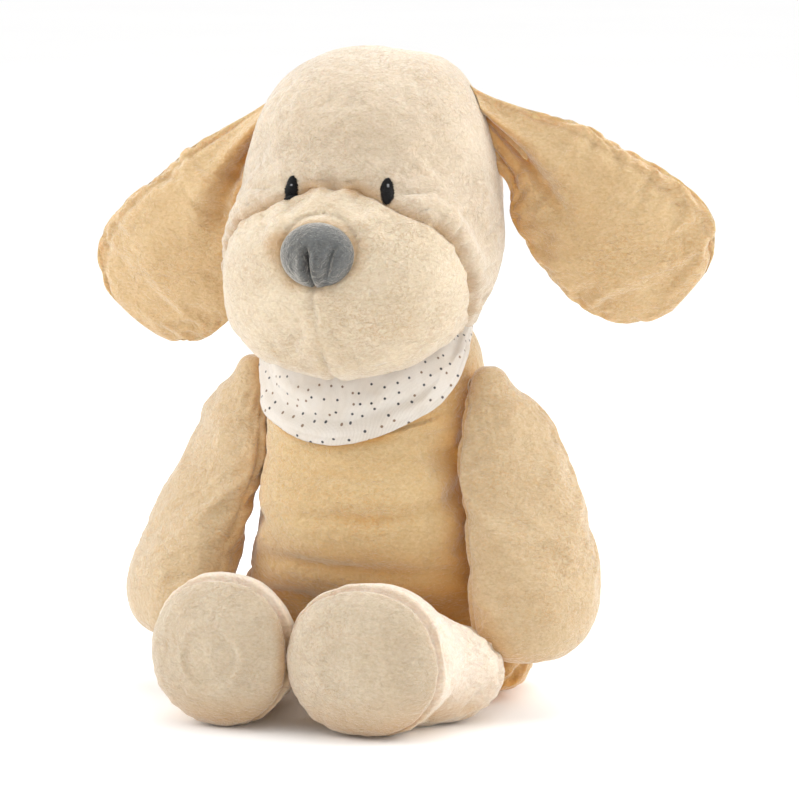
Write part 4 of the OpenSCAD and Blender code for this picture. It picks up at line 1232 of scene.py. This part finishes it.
def plain(name, colour, rough):
    m, t, p = new_material(name)
    n = noise_node(t, object_place(t), 3, 2, 0.5)
    dial(t, p, Base_Color=ramp(t, n.outputs["Fac"], [(0.3, tuple(c * 0.99 for c in colour)), (0.7, colour)]),
         Roughness=rough)
    return m


FLOOR_RADIUS = 9
mesh = bpy.data.meshes.new("studio_floor")
turns = np.linspace(0, 2 * math.pi, 96, endpoint=False)
rim = [(FLOOR_RADIUS * math.cos(t), FLOOR_RADIUS * math.sin(t), 0) for t in turns]
mesh.from_pydata(rim, [], [list(range(96))])
floor = bpy.data.objects.new("studio_floor", mesh)
bpy.context.scene.collection.objects.link(floor)
mesh.materials.append(plain("studio_white", (0.985, 0.983, 0.98), 0.9))

AZ, EL, DIST = math.radians(20), math.radians(8.5), 1.8
FIT_LENS, FIT_DIST = 134.6, 1.3        # the lens that frames the toy as in the photograph, and from how far
SHIFT_RIGHT, SHIFT_UP = 0.0180, -0.0096
MIDDLE = Vector((0, 0, 0.1425))
toward = Vector((math.sin(AZ) * math.cos(EL), -math.cos(AZ) * math.cos(EL), math.sin(EL)))
right = Vector((math.cos(AZ), math.sin(AZ), 0))
up = toward.cross(right)
look = MIDDLE + right * SHIFT_RIGHT + up * SHIFT_UP
cam = bpy.data.cameras.new("camera")
cam_obj = bpy.data.objects.new("camera", cam)
bpy.context.scene.collection.objects.link(cam_obj)
cam_obj.location = look + toward * DIST
cam_obj.rotation_euler = (-toward).to_track_quat("-Z", "Y").to_euler()
cam.lens = FIT_LENS * DIST / FIT_DIST
cam.sensor_width = 36
bpy.context.scene.camera = cam_obj


def softbox(name, azimuth, elevation, distance, size, watts, colour=(1, 1, 1)):
    l = bpy.data.lights.new(name, "AREA")
    l.shape = "RECTANGLE"
    l.size, l.size_y = size
    l.energy = watts
    l.color = colour
    o = bpy.data.objects.new(name, l)
    a, e = math.radians(azimuth), math.radians(elevation)
    d = Vector((math.sin(a) * math.cos(e), -math.cos(a) * math.cos(e), math.sin(e)))
    o.location = Vector((0, 0, 0.14)) + d * distance
    o.rotation_euler = (-d).to_track_quat("-Z", "Y").to_euler()
    bpy.context.scene.collection.objects.link(o)
    return o


softbox("key_left", -72, 30, 1.5, (0.9, 0.9), 10)
softbox("key_right", 116, 28, 1.5, (0.9, 0.9), 12)
softbox("top", 150, 74, 1.4, (1.1, 1.1), 6.5)
softbox("front_fill", 20, 12, 2.4, (1.2, 1.0), 1.5, (1.0, 0.98, 0.95))

world = bpy.data.worlds.new("studio")
bpy.context.scene.world = world
world.use_nodes = True
sky = world.node_tree
bg = sky.nodes["Background"]
way = add(sky, "ShaderNodeTexCoord").outputs["Generated"]
turned = add(sky, "ShaderNodeMapping", {"Vector": way, "Rotation": (0, 0, -AZ)}).outputs["Vector"]
behind = add(sky, "ShaderNodeSeparateXYZ", {"Vector": turned}).outputs["Y"]
half = add(sky, "ShaderNodeMath", operation="MULTIPLY_ADD")
for socket, value in zip(half.inputs, (behind, 0.5, 0.5)):
    plug(sky, value, socket)
plug(sky, ramp(sky, half.outputs["Value"], [(0.05, 0.88), (0.55, 1.06)]), bg.inputs["Color"])
bg.inputs["Strength"].default_value = 1.0
bpy.context.scene.view_settings.view_transform = "Standard"
